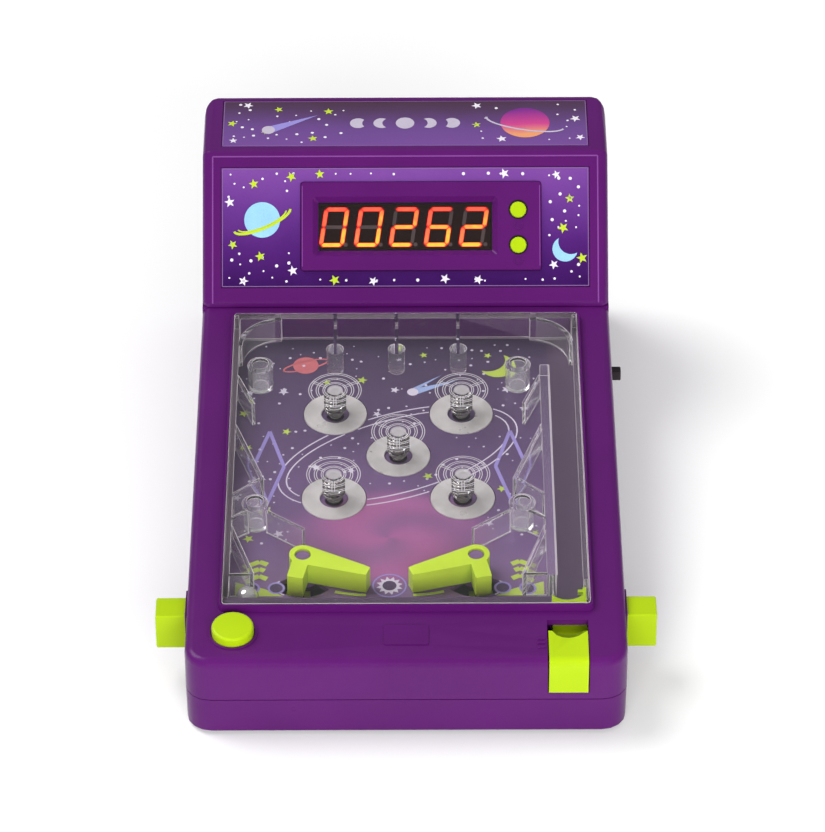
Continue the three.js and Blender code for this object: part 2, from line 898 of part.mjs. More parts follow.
function lowerOutside() {
  const levels = [];
  for (let step = 0; step <= filletSteps; step += 1) {
    const turn = (step / filletSteps) * Math.PI / 2;
    levels.push([lowerFillet * (1 - Math.cos(turn)),
      lowerDraft + lowerFillet * (1 - Math.sin(turn))]);
  }
  levels.push([lowerHeight, 0]);
  return caseBlock(0, 0, 0, levels);
}

function trayPosts() {
  const posts = [];
  [-1, 1].forEach((side) => {
    [trayPostFront, trayPostRearShare * windowLong].forEach((reach) => {
      const y = frontRail + reach;
      const x = side * (paneHalf - trayPostInset);
      posts.push(rod(x, y, wall / 2, frontHeight + y, trayPostRadius));
    });
  });
  return cut(join(...posts), deckHalfSpace(trayBottom - gap));
}

function rockerEars() {
  const [y, z] = deckPoint(rockerPivotReach, rockerLevel);
  const half = rockerWidth / 2 + gap;
  const ears = [-1, 1].map((side) => {
    const span = spanX(ballX + side * half, ballX + side * (half + earThickness));
    const ear = box(...span, y - 2 * rockerPin, y + 2 * rockerPin, wall / 2, z + 2 * rockerPin);
    return cut(ear, crossRod(span[0] - overrun, span[1] + overrun, y, z, rockerPin + runGap));
  });
  return join(...ears);
}

function mainBoardPosts() {
  const posts = [];
  [-1, 1].forEach((side) => {
    [0, 1].forEach((row) => {
      const x = side * (mainBoardWide / 2 - boardPost);
      const y = mainBoardReach + boardPost + row * (mainBoardDeep - 2 * boardPost);
      posts.push(rod(x, y, wall / 2, mainBoardLevel, boardPost));
    });
  });
  return join(...posts);
}

function speakerRim() {
  const low = wall / 2;
  const high = wall + gap + speakerHeight / 2;
  const inner = speakerRadius + gap;
  return cut(
    rod(0, speakerReach, low, high, inner + speakerRing, roundSteps),
    rod(0, speakerReach, wall, high + overrun, inner, roundSteps));
}

const shooterSpringLevel = floorLevel - 2 * gap - lugGap - wellBore;
const lugReach = frontRail - 2 * gap;
const troughFront = leverThickness - leverProud + gap;
const troughEnd = troughFront + wellWall;
const shooterSpringLength = lugReach - lugThickness - shooterTravel - troughEnd - 3 * gap;

// An open channel in which the shooter's spring lies and its lug runs.
function shooterTrough() {
  const half = wellBore + wellWall;
  const x = leverCentre;
  const rear = lugReach + wellWall;
  const floor = shooterSpringLevel - half;
  const block = box(x - half, x + half, troughFront, rear, floor,
    shooterSpringLevel + wellBore / 2);
  const bore = moved(rod(0, 0, troughEnd, rear + overrun, wellBore),
    new THREE.Matrix4().makeRotationX(-Math.PI / 2));
  const place = new THREE.Matrix4().makeTranslation(x, 0, shooterSpringLevel);
  const open = box(x - wellBore, x + wellBore, troughEnd, rear + overrun,
    shooterSpringLevel, shooterSpringLevel + half);
  const [legFront, legTop] = deckPoint(troughEnd, shooterSpringLevel - wellBore);
  const [legRear] = deckPoint(rear, shooterSpringLevel);
  const leg = box(x - half, x + half, legFront, legRear - half, wall / 2, legTop - wellWall / 2);
  return join(leg, moved(cut(block, moved(bore, place), open), deckMatrix));
}

function lowerShell() {
  const inside = stack(
    -halfWidth + wall, halfWidth - wall, wall, bodyDepth - wall, cornerRadius - wall,
    [[wall, lowerDraft], [lowerHeight + overrun, 0]]);
  const posts = screwSpots.map(([x, y]) => rod(x, y, wall / 2, lowerHeight, screwPost));
  const shell = join(cut(lowerOutside(), inside), batteryBay(), doorScrewPost(), speakerRim(),
    mainBoardPosts(), trayPosts(), rockerEars(), shooterTrough(), ...posts,
    sideWell('left'), sideWell('right'), returnCup());
  const holes = screwSpots.map(([x, y]) => join(
    rod(x, y, -overrun, lowerHeight + overrun, screwRadius + runGap),
    rod(x, y, -overrun, screwSink + screwHeadHeight, screwHead + gap)));
  const doorHole = rod(0, doorScrewY, -overrun, doorThickness + doorScrewLength + gap,
    screwRadius + runGap);
  const feet = footSpots.map(([x, y]) => rod(x, y, -overrun, footSink, footRadius + gap));
  return cut(shell, batteryCuts(), grille(), doorHole, ...holes, ...feet);
}

// Head

function headLines(inset) {
  const away = (angle) => new THREE.Vector2(Math.sin(angle), -Math.cos(angle));
  const along = (angle) => new THREE.Vector2(Math.cos(angle), Math.sin(angle));
  const foot = new THREE.Vector2(deckReach, faceBaseZ).addScaledVector(away(faceTilt), inset);
  const brow = new THREE.Vector2(browY, browZ).addScaledVector(away(deckSlope), inset);
  const heel = new THREE.Vector2(...deckPoint(deckLength + headFootSetback + inset, 0));
  return {
    face: [foot, along(faceTilt)],
    top: [brow, along(deckSlope)],
    front: [heel, along(deckSlope + Math.PI / 2)],
    back: bodyDepth - inset,
  };
}

function meet([p, u], [q, v]) {
  const between = q.clone().sub(p);
  const share = between.cross(v) / u.cross(v);
  return p.clone().addScaledVector(u, share);
}

// The head's side outline, offset inwards, cut off by a line parallel to the deck. Its foot
// stands upright on the deck below the sloped face.
function headOutline(inset, level, rounds) {
  const { face, top, front, back } = headLines(inset);
  const base = [new THREE.Vector2(...deckPoint(0, level)), new THREE.Vector2(
    Math.cos(deckSlope), Math.sin(deckSlope))];
  const upright = [new THREE.Vector2(back, 0), new THREE.Vector2(0, 1)];
  const corners = [meet(base, front), meet(base, upright), meet(top, upright), meet(face, top),
    meet(front, face)];
  return corners.map((corner, index) => [corner.x, corner.y, rounds[index]]);
}

// Points of an outline given as corners [y, z, radius], an equal number at each rounding.
function cornerPoints(corners) {
  const points = [];
  corners.forEach(([y, z, radius], index) => {
    const here = new THREE.Vector2(y, z);
    if (radius === 0) {
      points.push(here);
      return;
    }
    const [by, bz] = corners[(index + corners.length - 1) % corners.length];
    const [ny, nz] = corners[(index + 1) % corners.length];
    const back = new THREE.Vector2(by, bz).sub(here).normalize();
    const ahead = new THREE.Vector2(ny, nz).sub(here).normalize();
    const run = radius / Math.tan(Math.acos(back.dot(ahead)) / 2);
    const from = here.clone().addScaledVector(back, run);
    const to = here.clone().addScaledVector(ahead, run);
    points.push(...new THREE.QuadraticBezierCurve(from, here, to).getPoints(filletSteps));
  });
  return points;
}

// The head's block, its side edges rounded by drawing the outline inwards towards each side.
function headBlock() {
  const rounds = [0, 0, headBackRound, headBrowRound, headFootRound];
  const half = filletLevels(halfWidth, headFillet).reverse().map(([x, inset]) => [-x, inset]);
  const levels = [...half, ...half.map(([x, inset]) => [-x, inset]).reverse()];
  const rings = levels.map(([x, inset]) => {
    const shrunk = rounds.map((radius) => (radius ? Math.max(radius - inset, gap) : 0));
    return cornerPoints(headOutline(inset, gap, shrunk)).map((point) => [x, point.x, point.y]);
  });
  return toSolid(skin(rings));
}

function headOutside() {
  return headBlock().intersect(caseBlock(0, 0, 2 * bodyDepth));
}

function bezelShape(inset) {
  return rectangle(bezelLeft + inset, bezelRight - inset, bezelLow + inset, bezelHigh - inset,
    bezelRound);
}

const windowX = 0;
const windowY = (bezelLow + bezelHigh) / 2;

function windowShape(margin) {
  const wide = windowWide / 2 + margin;
  const tall = windowTall / 2 + margin;
  return [windowX - wide, windowX + wide, windowY - tall, windowY + tall];
}

function funnel() {
  const flare = stack(...windowShape(funnelFlare), overrun,
    [[bezelProud - funnelDepth, funnelFlare], [bezelProud + overrun / 10, 0]], 1);
  const through = box(...windowShape(0), -3 * wall, bezelProud);
  const seat = box(...windowShape(lensMargin + gap), -3 * wall, bezelProud - funnelDepth);
  return join(flare, through, seat);
}

function keySpots() {
  return [keyHigh, keyLow].map((y) => [keyX, y]);
}

const boardTop = bezelProud - funnelDepth - gap - lensThickness - gap - digitBlockDeep - gap;

const boardLow = windowY - digitBlockTall / 2 - boardBelowDigits;

function displayPosts() {
  const spots = [];
  [bezelLeft, bezelRight].forEach((x) => {
    [boardLow + displayPost, bezelHigh].forEach((y) => spots.push([x, y]));
  });
  return join(...spots.map(([x, y]) => rod(x, y, boardTop + gap, -wall / 2, displayPost)));
}

function headLipPiece() {
  const margin = headHoleMargin + gap;
  const outer = box(-halfWidth + margin, halfWidth - margin, deckReach + 2 * headHoleMargin + gap,
    bodyDepth - margin, 0, bodyDepth);
  const inner = box(-halfWidth + margin + wall, halfWidth - margin - wall,
    deckReach + 2 * headHoleMargin + gap + wall, bodyDepth - margin - wall, 0, bodyDepth);
  const slab = moved(box(-bodyWidth, bodyWidth, 0, 2 * bodyDepth, -headLip, 2 * wall), deckMatrix);
  return cut(outer, inner).intersect(slab);
}

function headFloor() {
  const slab = moved(box(-halfWidth + wall / 2, halfWidth - wall / 2, deckLength + wall,
    2 * bodyDepth, gap, wall), deckMatrix);
  const opening = box(-halfWidth + headHoleMargin + wall, halfWidth - headHoleMargin - wall,
    deckReach + 2 * headHoleMargin + wall, bodyDepth - headHoleMargin - wall, 0, bodyDepth);
  return cut(slab, opening).intersect(headOutside());
}

function headHousing() {
  const hollow = sideways(outline(headOutline(wall, -bodyDepth / 2, [0, 0, 0, 0, 0])),
    -halfWidth + wall, halfWidth - wall, 1);
  const footprint = caseBlock(wall, 0, 2 * bodyDepth);
  const faceRaised = plate(bezelShape(0), -wall / 2, bezelProud);
  const shell = cut(headOutside(), hollow.intersect(footprint));
  const solid = join(shell, headFloor(), headLipPiece(),
    moved(join(faceRaised, displayPosts()), faceMatrix));
  const labelCut = cut(
    plate(rectangle(-labelWidth / 2 - gap, labelWidth / 2 + gap, labelLow - gap,
      labelHigh + gap), -labelRecess, overrun),
    plate(bezelShape(0), -wall, 2 * overrun));
  const keyHoles = keySpots().map(([x, y]) => rod(
    x, y, -2 * wall, bezelProud + overrun, keyRadius + gap, roundSteps));
  const topCut = plate(rectangle(-labelWidth / 2 - gap, labelWidth / 2 + gap,
    topLabelMargin - gap, topLabelMargin + topLabelDepth + gap), -labelRecess, overrun);
  return cut(solid, moved(join(labelCut, funnel(), ...keyHoles), faceMatrix),
    moved(topCut, topMatrix));
}

// Clear cover

function clearCover() {
  const pane = plate(rectangle(-paneHalf, paneHalf, frontRail, windowRear, windowRadius),
    paneBottom, rimHeight);
  const lift = paneBottom + paneThickness / 2;
  const inner = paneHalf - coverWall;
  const rearWall = box(-paneHalf + windowRadius, paneHalf - windowRadius, windowRear - coverWall,
    windowRear, hangBottom, lift);
  const sideRear = windowRear - windowRadius;
  const leftWall = box(-paneHalf, -inner, ledgeRear + gap, sideRear, hangBottom, lift);
  const tipClear = tipReach + prongReach + 2 * gap;
  const rightWall = box(inner, paneHalf, tipClear, sideRear, hangBottom, lift);
  const parts = [rearWall, leftWall, rightWall, ...bows(lift), ...ribs(lift), ...pins(lift)];
  const posts = bossSpots().map(([x, y]) => rod(x, y, hangBottom, lift, bossRadius, bossSteps));
  const cores = bossSpots().map(([x, y]) => (
    rod(x, y, hangBottom + bossFloor, rimHeight + overrun, bossBore, smallSteps)));
  const hangers = bumperSpots().map(([x, y]) => (
    rod(x, y, paneBottom - bumperBossDrop, lift, bumperBossRadius, bossSteps)));
  const bores = bumperSpots().map(([x, y]) => rod(
    x, y, paneBottom - bumperBossDrop + bossFloor, rimHeight + overrun, bumperBossBore, smallSteps));
  return cut(join(pane, ...parts, ...posts, ...hangers), ...cores, ...bores);
}

// Curved corners at the back, which turn the ball.
function bows(lift) {
  return [-1, 1].map((side) => {
    const x = side * (paneHalf - coverWall - bowRadius);
    const y = windowRear - coverWall - bowRadius;
    const shape = new THREE.Shape();
    const from = side > 0 ? 0 : Math.PI / 2;
    shape.absarc(x, y, bowRadius + overrun / 5, from, from + Math.PI / 2, false);
    shape.absarc(x, y, bowRadius - ribWall, from + Math.PI / 2, from, true);
    shape.closePath();
    return plate(shape, hangBottom, lift, bowSteps);
  });
}

// A straight rib between two points of the playfield.
function rib([x0, y0], [x1, y1], lift, width = ribWall) {
  const length = Math.hypot(x1 - x0, y1 - y0);
  const geometry = new THREE.BoxGeometry(length + width, width, lift - hangBottom);
  geometry.rotateZ(Math.atan2(y1 - y0, x1 - x0));
  geometry.translate((x0 + x1) / 2, (y0 + y1) / 2, (lift + hangBottom) / 2);
  return toSolid(geometry);
}

// Rib ends, as shares of the field's width from its edge and of its length from the gutter.
const ribShares = [
  [[0, 0.751], [0.054, 0.646]],
  [[0, 0.556], [0.092, 0.356]],
  [[0.092, 0.356], [0, 0.293]],
  [[0.116, 0.23], [0.227, 0.167]],
  [[0.048, 0.23], [0, 0.206]],
  [[0, 0.173], [0.072, 0.004]],
  [[0, 0], [0.072, 0]],
];

function ribs(lift) {
  const wide = fieldRight - fieldLeft;
  const start = channelY + ballRadius + gap + ribWall / 2;
  const long = windowRear - start;
  const walls = [];
  ribShares.forEach((ends) => {
    const left = ends.map(([x, y]) => [fieldLeft + x * wide, start + y * long]);
    const right = ends.map(([x, y]) => [fieldRight - x * wide, start + y * long]);
    walls.push(rib(...left, lift), rib(...right, lift));
  });
  walls.push(box(fieldRight, fieldRight + laneWall, frontRail + laneStart,
    frontRail + laneEndShare * windowLong, hangBottom, lift));
  return walls;
}

function bossSpots() {
  return [bossRearShare, bossFrontShare].flatMap((share) => (
    [fieldLeft + bossInsetLeft, fieldRight - bossInsetRight].map((x) => (
      [x, frontRail + share * windowLong]))));
}

function bumperSpots() {
  const x = fieldCentre + bumperShift;
  const y = frontRail + bumperShare * windowLong;
  return [
    [x - bumperPitchX, y + bumperPitchY],
    [x + bumperPitchX, y + bumperPitchY],
    [x, y],
    [x - bumperPitchX, y - bumperPitchY],
    [x + bumperPitchX, y - bumperPitchY],
  ];
}

function pins(lift) {
  const y = windowRear - pinInset;
  const spots = [-1, 0, 1].map((column) => [fieldCentre + pinShift + column * pinPitch, y]);
  return spots.flatMap(([x, yPin]) => [
    rod(x, yPin, hangBottom, lift, pinRadius),
    box(x - ribWall / 2, x + ribWall / 2, yPin, windowRear - coverWall / 2, hangBottom, lift),
  ]);
}

// Playfield tray

function fanSlot(name) {
  const x = pivots[name];
  const shape = new THREE.Shape();
  const from = name === 'left' ? fanLow : -Math.PI - fanHigh;
  const to = name === 'left' ? fanHigh : -Math.PI - fanLow;
  shape.absarc(x, pivotY, fanOuter, from, to, false);
  shape.absarc(x, pivotY, fanInner, to, from, true);
  shape.closePath();
  return plate(shape, trayBottom - overrun, floorLevel + overrun, bowSteps);
}

function playfieldTray() {
  const base = plate(rectangle(-paneHalf, paneHalf, frontRail, windowRear, windowRadius),
    trayBottom, floorLevel);
  const ledge = plate(rectangle(-paneHalf, paneHalf, frontRail, ledgeRear, windowRadius),
    trayBottom, paneBottom - gap);
  const posts = Object.values(pivots).map((x) => (
    rod(x, pivotY, floorLevel - trayThickness / 2, paneBottom - flipperHeadroom - 2 * gap,
      pivotPost, smallSteps)));
  const seats = bumperSpots().map(([x, y]) => join(
    rod(x, y, floorLevel - discThickness - gap, floorLevel + overrun, discRadius + gap, roundSteps),
    rod(x, y, trayBottom - overrun, floorLevel, springHole, smallSteps)));
  const padHole = rod(ballX, channelY, trayBottom - overrun, floorLevel + overrun,
    padRadius + padPlay);
  return cut(join(base, ledge, ...posts), ...seats, fanSlot('left'), fanSlot('right'), padHole,
    shankWay(floorLevel, rimHeight));
}

function contactDisc([x, y]) {
  return cut(
    rod(x, y, floorLevel - discThickness, floorLevel, discRadius, roundSteps),
    rod(x, y, trayBottom, floorLevel + overrun, discHole, smallSteps));
}

// Flippers

function flipper(name) {
  const side = sideOf(name);
  const top = paneBottom - flipperHeadroom;
  const low = floorLevel + gap;
  const blade = new THREE.Shape();
  const lean = Math.asin((flipperBoss - flipperTipRadius) / (flipperLength - flipperTipRadius));
  const tipX = flipperLength - flipperTipRadius;
  blade.absarc(0, 0, flipperBoss, Math.PI / 2 - lean, 3 * Math.PI / 2 + lean, false);
  blade.lineTo(tipX, -flipperTipRadius);
  blade.lineTo(tipX + flipperTipRadius, -flipperTipRadius * tipFlatShare);
  blade.lineTo(tipX + flipperTipRadius, flipperTipRadius * tipFlatShare);
  blade.lineTo(tipX, flipperTipRadius);
  blade.closePath();
  const arm = turned(plate(blade, low, top, smallSteps), -flipperRest);
  const tailShape = rectangle(-tailWidth / 2, tailWidth / 2, -tailLength, 0, overrun / 2);
  const tail = turned(plate(tailShape, low, top, 2), -tailLean);
  const foot = turned(plate(rectangle(-pegRadius, pegRadius, -tailLength + overrun / 2,
    -fanInner - 2 * gap), trayBottom + gap, low + overrun, 2), -tailLean);
  const peg = turned(rod(0, -pegReach, pegBottom, low, pegRadius), -tailLean);
  const hole = rod(0, 0, low - overrun, top + overrun, pivotHole, roundSteps);
  const solid = cut(join(arm, tail, foot, peg), hole);
  const mirrored = side < 0 ? solid : moved(solid, new THREE.Matrix4().makeScale(-1, 1, 1));
  return moved(mirrored, new THREE.Matrix4().makeTranslation(pivots[name], pivotY, 0));
}

function turned(solid, angle) {
  return moved(solid, new THREE.Matrix4().makeRotationZ(angle));
}

// Shooter

function shooterLever() {
  const half = leverWidth / 2;
  const front = -leverProud;
  const bottom = frontHeight - leverDrop;
  const [rearY, rearZ] = deckPoint(leverReach, leverProud);
  const [, frontZ] = deckPoint(0, leverProud);
  const [underY, underZ] = deckPoint(leverReach, leverProud - leverThickness);
  const innerZ = frontZ - leverThickness;
  const shape = outline([
    [front, bottom, leverProud / 2],
    [front + leverThickness, bottom, 0],
    [front + leverThickness, innerZ, 0],
    [underY, underZ, 0],
    [rearY, rearZ, 0],
    [front, frontZ, leverRound],
  ]);
  const shell = sideways(shape, leverCentre - half, leverCentre + half);
  const dish = new THREE.SphereGeometry(dishRadius, roundSteps, smallSteps);
  dish.translate(leverCentre, leverReach + dishRadius / 4, leverProud + dishRadius - dishDepth);
  const dished = cut(shell, moved(toSolid(dish), deckMatrix));
  return join(dished, moved(shank(), deckMatrix));
}

// The hidden bar that joins the lever to the striking tip, with the lug its spring pushes on.
function shank() {
  const half = tipWidth / 2;
  const top = leverProud - leverThickness / 2;
  const low = floorLevel + gap;
  const bar = box(tipCentre - half, tipCentre + half, leverReach / 2, tipReach - tipBack - gap,
    low, low + shankHeight);
  const neck = box(tipCentre - half, tipCentre + half, leverReach / 2, leverReach - gap,
    low, top);
  const lug = box(leverCentre - springRadius, leverCentre + springRadius, lugReach - lugThickness,
    lugReach, shooterSpringLevel - springRadius / 2, low + gap);
  return join(bar, neck, lug);
}

function launchTip() {
  const half = tipWidth / 2;
  const low = floorLevel + gap;
  const back = tipReach - tipBack;
  const block = box(tipCentre - half, tipCentre + half, back, tipReach, low, low + tipHeight);
  const arcY = tipReach + Math.sqrt(tipArcRadius ** 2 - (half - overrun / 2) ** 2);
  const bowl = rod(tipCentre - prongWidth / 2, arcY, low - overrun, low + 2 * tipHeight,
    tipArcRadius, roundSteps);
  const right = tipCentre + half;
  const prong = box(right - prongWidth, right, back, tipReach + prongReach, low,
    low + tipHeight + gap);
  const hook = box(right - prongWidth - hookReach, right - prongWidth / 2,
    tipReach + prongReach - 2 * hookThickness, tipReach + prongReach - hookThickness,
    low + tipHeight - hookThickness, low + tipHeight + gap);
  return join(cut(block, bowl), prong, hook);
}

// Ball return

const rockerLevel = trayBottom - rockerRoom - rockerThickness / 2;

function roundButton() {
  const x = -halfWidth + roundButtonInset;
  const under = -wall - gap;
  const profile = [
    [0, rockerLevel + rockerThickness / 2 + 2 * gap],
    [roundStemRadius, rockerLevel + rockerThickness / 2 + 2 * gap],
    [roundStemRadius, under - roundButtonFlange],
    [roundButtonRadius + roundButtonFlange, under - roundButtonFlange],
    [roundButtonRadius + roundButtonFlange, under],
    [roundButtonRadius, under],
    [roundButtonRadius, roundButtonProud - roundButtonDome],
    [roundButtonRadius - roundButtonDome / 3, roundButtonProud - roundButtonDome / 3],
    [roundButtonRadius - roundButtonDome, roundButtonProud],
    [0, roundButtonProud],
  ].map(([r, z]) => new THREE.Vector2(r, z));
  const geometry = new THREE.LatheGeometry(profile, roundSteps);
  geometry.rotateX(Math.PI / 2);
  geometry.translate(x, roundButtonReach, 0);
  return toSolid(geometry);
}

function returnRocker() {
  const half = rockerWidth / 2;
  const low = rockerLevel - rockerThickness / 2;
  const high = rockerLevel + rockerThickness / 2;
  const buttonX = -halfWidth + roundButtonInset;
  const front = roundButtonReach - half;
  const bar = box(ballX - half, ballX + half, front, channelY + half, low, high);
  const heel = box(...spanX(buttonX - half, ballX), front, front + rockerWidth, low, high);
  const pad = rod(ballX, channelY, high - overrun, floorLevel - gap, padRadius);
  const bore = crossRod(ballX - rockerWidth, ballX + rockerWidth, rockerPivotReach, rockerLevel,
    rockerPin + runGap);
  return cut(join(bar, heel, pad), bore);
}

const [returnY, returnTop] = deckPoint(roundButtonReach, rockerLevel - rockerThickness / 2);
const returnSpringLength = returnTop - wall - roundButtonTravel - 3 * gap;

function returnCup() {
  const [y, z] = [returnY, returnTop];
  const x = -halfWidth + roundButtonInset;
  const bore = springOuter + 2 * wellGap;
  return cut(
    rod(x, y, wall / 2, z - returnSpringLength + springBite, bore + wellWall),
    rod(x, y, wall, z, bore));
}

// Display

function lens() {
  const top = bezelProud - funnelDepth - gap;
  return box(...windowShape(lensMargin), top - lensThickness, top);
}

function digitBlock() {
  const top = boardTop + gap + digitBlockDeep;
  const wide = digitBlockWide / 2;
  const tall = digitBlockTall / 2;
  return box(windowX - wide, windowX + wide, windowY - tall, windowY + tall, boardTop + gap, top);
}

function displayBoard() {
  const board = box(bezelLeft - boardMargin, bezelRight + boardMargin, boardLow,
    bezelHigh + boardMargin, boardTop - boardThickness, boardTop);
  const switches = keySpots().map(([x, y]) => join(
    box(x - tactSize / 2, x + tactSize / 2, y - tactSize / 2, y + tactSize / 2,
      boardTop - gap, boardTop + tactHeight),
    rod(x, y, boardTop, boardTop + tactHeight + plungerProud, keyStem)));
  return join(board, ...switches);
}

const keyUnder = -wall - gap;
const keyStemBottom = boardTop + tactHeight + plungerProud + keyTravel + gap;

function keyButton([x, y]) {
  const profile = [
    [0, keyStemBottom],
    [keyStem, keyStemBottom],
    [keyStem, keyUnder - keyFlangeThickness],
    [keyRadius + keyFlange, keyUnder - keyFlangeThickness],
    [keyRadius + keyFlange, keyUnder],
    [keyRadius, keyUnder],
    [keyRadius, bezelProud + keyProud - gap],
    [keyRadius - gap, bezelProud + keyProud],
    [0, bezelProud + keyProud],
  ].map(([r, z]) => new THREE.Vector2(r, z));
  const geometry = new THREE.LatheGeometry(profile, bossSteps);
  geometry.rotateX(Math.PI / 2);
  geometry.translate(x, y, 0);
  return toSolid(geometry);
}

function faceLabel() {
  const low = -labelRecess + gap;
  return cut(
    plate(rectangle(-labelWidth / 2, labelWidth / 2, labelLow, labelHigh), low, low + labelThickness),
    plate(rectangle(bezelLeft - gap, bezelRight + gap, bezelLow - gap, bezelHigh + gap,
      bezelRound), -wall, wall));
}

function topLabel() {
  const low = -labelRecess + gap;
  return plate(rectangle(-labelWidth / 2, labelWidth / 2, topLabelMargin,
    topLabelMargin + topLabelDepth), low, low + labelThickness);
}

// Slide switch

function switchKnob() {
  const inner = halfWidth - wall - gap - sliderThickness;
  const half = knobLong / 2;
  const plateHalf = half + sliderThickness;
  const slider = box(inner, inner + sliderThickness, switchReach - plateHalf,
    switchReach + plateHalf, switchLevel - knobTall, switchLevel + knobTall);
  const nub = box(inner, halfWidth + knobProud, switchReach - half, switchReach + half,
    switchLevel - knobTall / 2, switchLevel + knobTall / 2);
  return join(slider, nub);
}

function switchBody() {
  const outer = halfWidth - wall - sliderThickness - 2 * gap;
  const centre = switchReach - knobTravel / 2;
  return box(outer - switchDeep, outer, centre - switchLong / 2, centre + switchLong / 2,
    switchLevel - switchTall / 2, switchLevel + switchTall / 2);
}

// Loose and bought-in pieces

function screw(x, y, z, headHeight, length) {
  const head = rod(x, y, z, z + headHeight, screwHead);
  const shaft = rod(x, y, z + headHeight / 2, z + headHeight + length, screwRadius);
  const slots = [
    box(x - screwRadius, x + screwRadius, y - screwSlot / 2, y + screwSlot / 2, z - overrun,
      z + headHeight / 2),
    box(x - screwSlot / 2, x + screwSlot / 2, y - screwRadius, y + screwRadius, z - overrun,
      z + headHeight / 2),
  ];
  return cut(join(head, shaft), ...slots);
}

function cell(index) {
  const y = bayReach + cellPlay + cellRadius + index * cellPitch;
  const z = doorThickness + gap + cellRadius + cellPlay / 2;
  const flip = index % 2 === 0 ? 1 : -1;
  const can = crossRod(-cellLength / 2, cellLength / 2 - cellNub, y, z, cellRadius, roundSteps);
  const nub = crossRod(cellLength / 2 - 2 * cellNub, cellLength / 2, y, z, cellNubRadius);
  return moved(join(can, nub), new THREE.Matrix4().makeScale(flip, 1, 1));
}

function batteryContact(side) {
  const outer = bayLength / 2 - gap;
  const z = doorThickness + 2 * gap + cellRadius;
  return box(...spanX(side * outer, side * (outer - contactThickness)), bayReach + cellPlay,
    bayReach + bayDepth - cellPlay, z - contactHeight / 2, z + contactHeight / 2);
}

function batteryDoor() {
  const door = doorSeat(0, doorThickness);
  return cut(door, rod(0, doorScrewY, -overrun, doorThickness + overrun, screwRadius + runGap),
    rod(0, doorScrewY, -overrun, doorThickness / 2 + gap, screwHead + gap));
}

function mainBoard() {
  const half = mainBoardWide / 2;
  const low = mainBoardLevel + gap;
  const board = box(-half, half, mainBoardReach, mainBoardReach + mainBoardDeep, low,
    low + boardThickness);
  const y = mainBoardReach + mainBoardDeep / 2;
  const chip = box(-chipSize / 2, chipSize / 2, y - chipSize / 2, y + chipSize / 2, low,
    low + boardThickness + chipHeight);
  return join(board, chip);
}

function speaker() {
  const low = wall + gap;
  const rim = rod(0, speakerReach, low, low + speakerHeight, speakerRadius, roundSteps);
  const magnet = rod(0, speakerReach, low, low + speakerHeight + speakerMagnetHeight,
    speakerMagnet, roundSteps);
  const bowl = rod(0, speakerReach, low - overrun, low + overrun, speakerRadius - speakerRing,
    roundSteps);
  return cut(join(rim, magnet), bowl);
}

function foot([x, y]) {
  return rod(x, y, -footProud, footSink - gap, footRadius, roundSteps);
}

// Assembly

solidPiece(game, 'lower_shell', lowerShell(), 'purple');
solidPiece(game, 'upper_shell', upperShell(), 'purple');
solidPiece(game, 'head_housing', headHousing(), 'purple');
solidPiece(deckGroup, 'clear_cover', clearCover(), 'clear');
solidPiece(deckGroup, 'playfield_tray', playfieldTray(), 'tray');

bumperSpots().forEach((spot, index) => {
  solidPiece(deckGroup, `contact_disc_${index + 1}`, contactDisc(spot), 'steel');
  const low = floorLevel - coilTipDrop;
  const length = paneBottom - coilTopInset - low;
  const name = `bumper_spring_${index + 1}`;
  const geometry = coil(length, coilTipRadius, coilTopRadius, coilTaperShare, coilTurns, coilWire,
    name);
  piece(deckGroup, name, geometry, 'steel').position.set(spot[0], spot[1], low);
});

['left', 'right'].forEach((name) => {
  const side = sideOf(name);
  solidPiece(deckGroup, `flipper_${name}`, flipper(name), 'lime');
  solidPiece(game, `side_button_${name}`, sideButton(name), 'lime');
  const geometry = evenCoil(springLength, `button_spring_${name}`);
  const spring = piece(game, `button_spring_${name}`, geometry, 'steel');
  const start = buttonInner - 2 * lipThickness - gap;
  spring.position.set(side * start, sideSpringY, sideSpringZ);
  spring.rotation.y = -side * Math.PI / 2;
});

solidPiece(game, 'shooter_lever', shooterLever(), 'lime');
solidPiece(deckGroup, 'launch_tip', launchTip(), 'lime');
const shooterCoil = evenCoil(shooterSpringLength, 'shooter_spring');
const shooterSpring = piece(deckGroup, 'shooter_spring', shooterCoil, 'steel');
shooterSpring.position.set(leverCentre, lugReach - lugThickness - gap, shooterSpringLevel);
shooterSpring.rotation.x = Math.PI / 2;

solidPiece(deckGroup, 'return_button', roundButton(), 'lime');
solidPiece(deckGroup, 'return_rocker', returnRocker(), 'black');
const rockerPinSolid = crossRod(ballX - rockerPinLength / 2, ballX + rockerPinLength / 2,
  rockerPivotReach, rockerLevel, rockerPin);
solidPiece(deckGroup, 'rocker_pin', rockerPinSolid, 'steel');
const returnCoil = evenCoil(returnSpringLength, 'return_spring');
const returnSpring = piece(deckGroup, 'return_spring', returnCoil, 'steel');
returnSpring.position.set(-halfWidth + roundButtonInset, roundButtonReach,
  rockerLevel - rockerThickness / 2 - gap);
returnSpring.rotation.x = Math.PI;
const ballGeometry = new THREE.SphereGeometry(ballRadius, bossSteps, smallSteps);
const ball = piece(deckGroup, 'ball', ballGeometry, 'steel');
ball.position.set(ballX, channelY, floorLevel + ballRadius);

solidPiece(faceGroup, 'display_lens', lens(), 'lens');
solidPiece(faceGroup, 'digit_block', digitBlock(), 'digits');
solidPiece(faceGroup, 'display_board', displayBoard(), 'board');
solidPiece(faceGroup, 'power_button', keyButton([keyX, keyHigh]), 'lime');
solidPiece(faceGroup, 'reset_button', keyButton([keyX, keyLow]), 'lime');
solidPiece(faceGroup, 'face_label', faceLabel(), 'label');
solidPiece(topGroup, 'top_label', topLabel(), 'label');

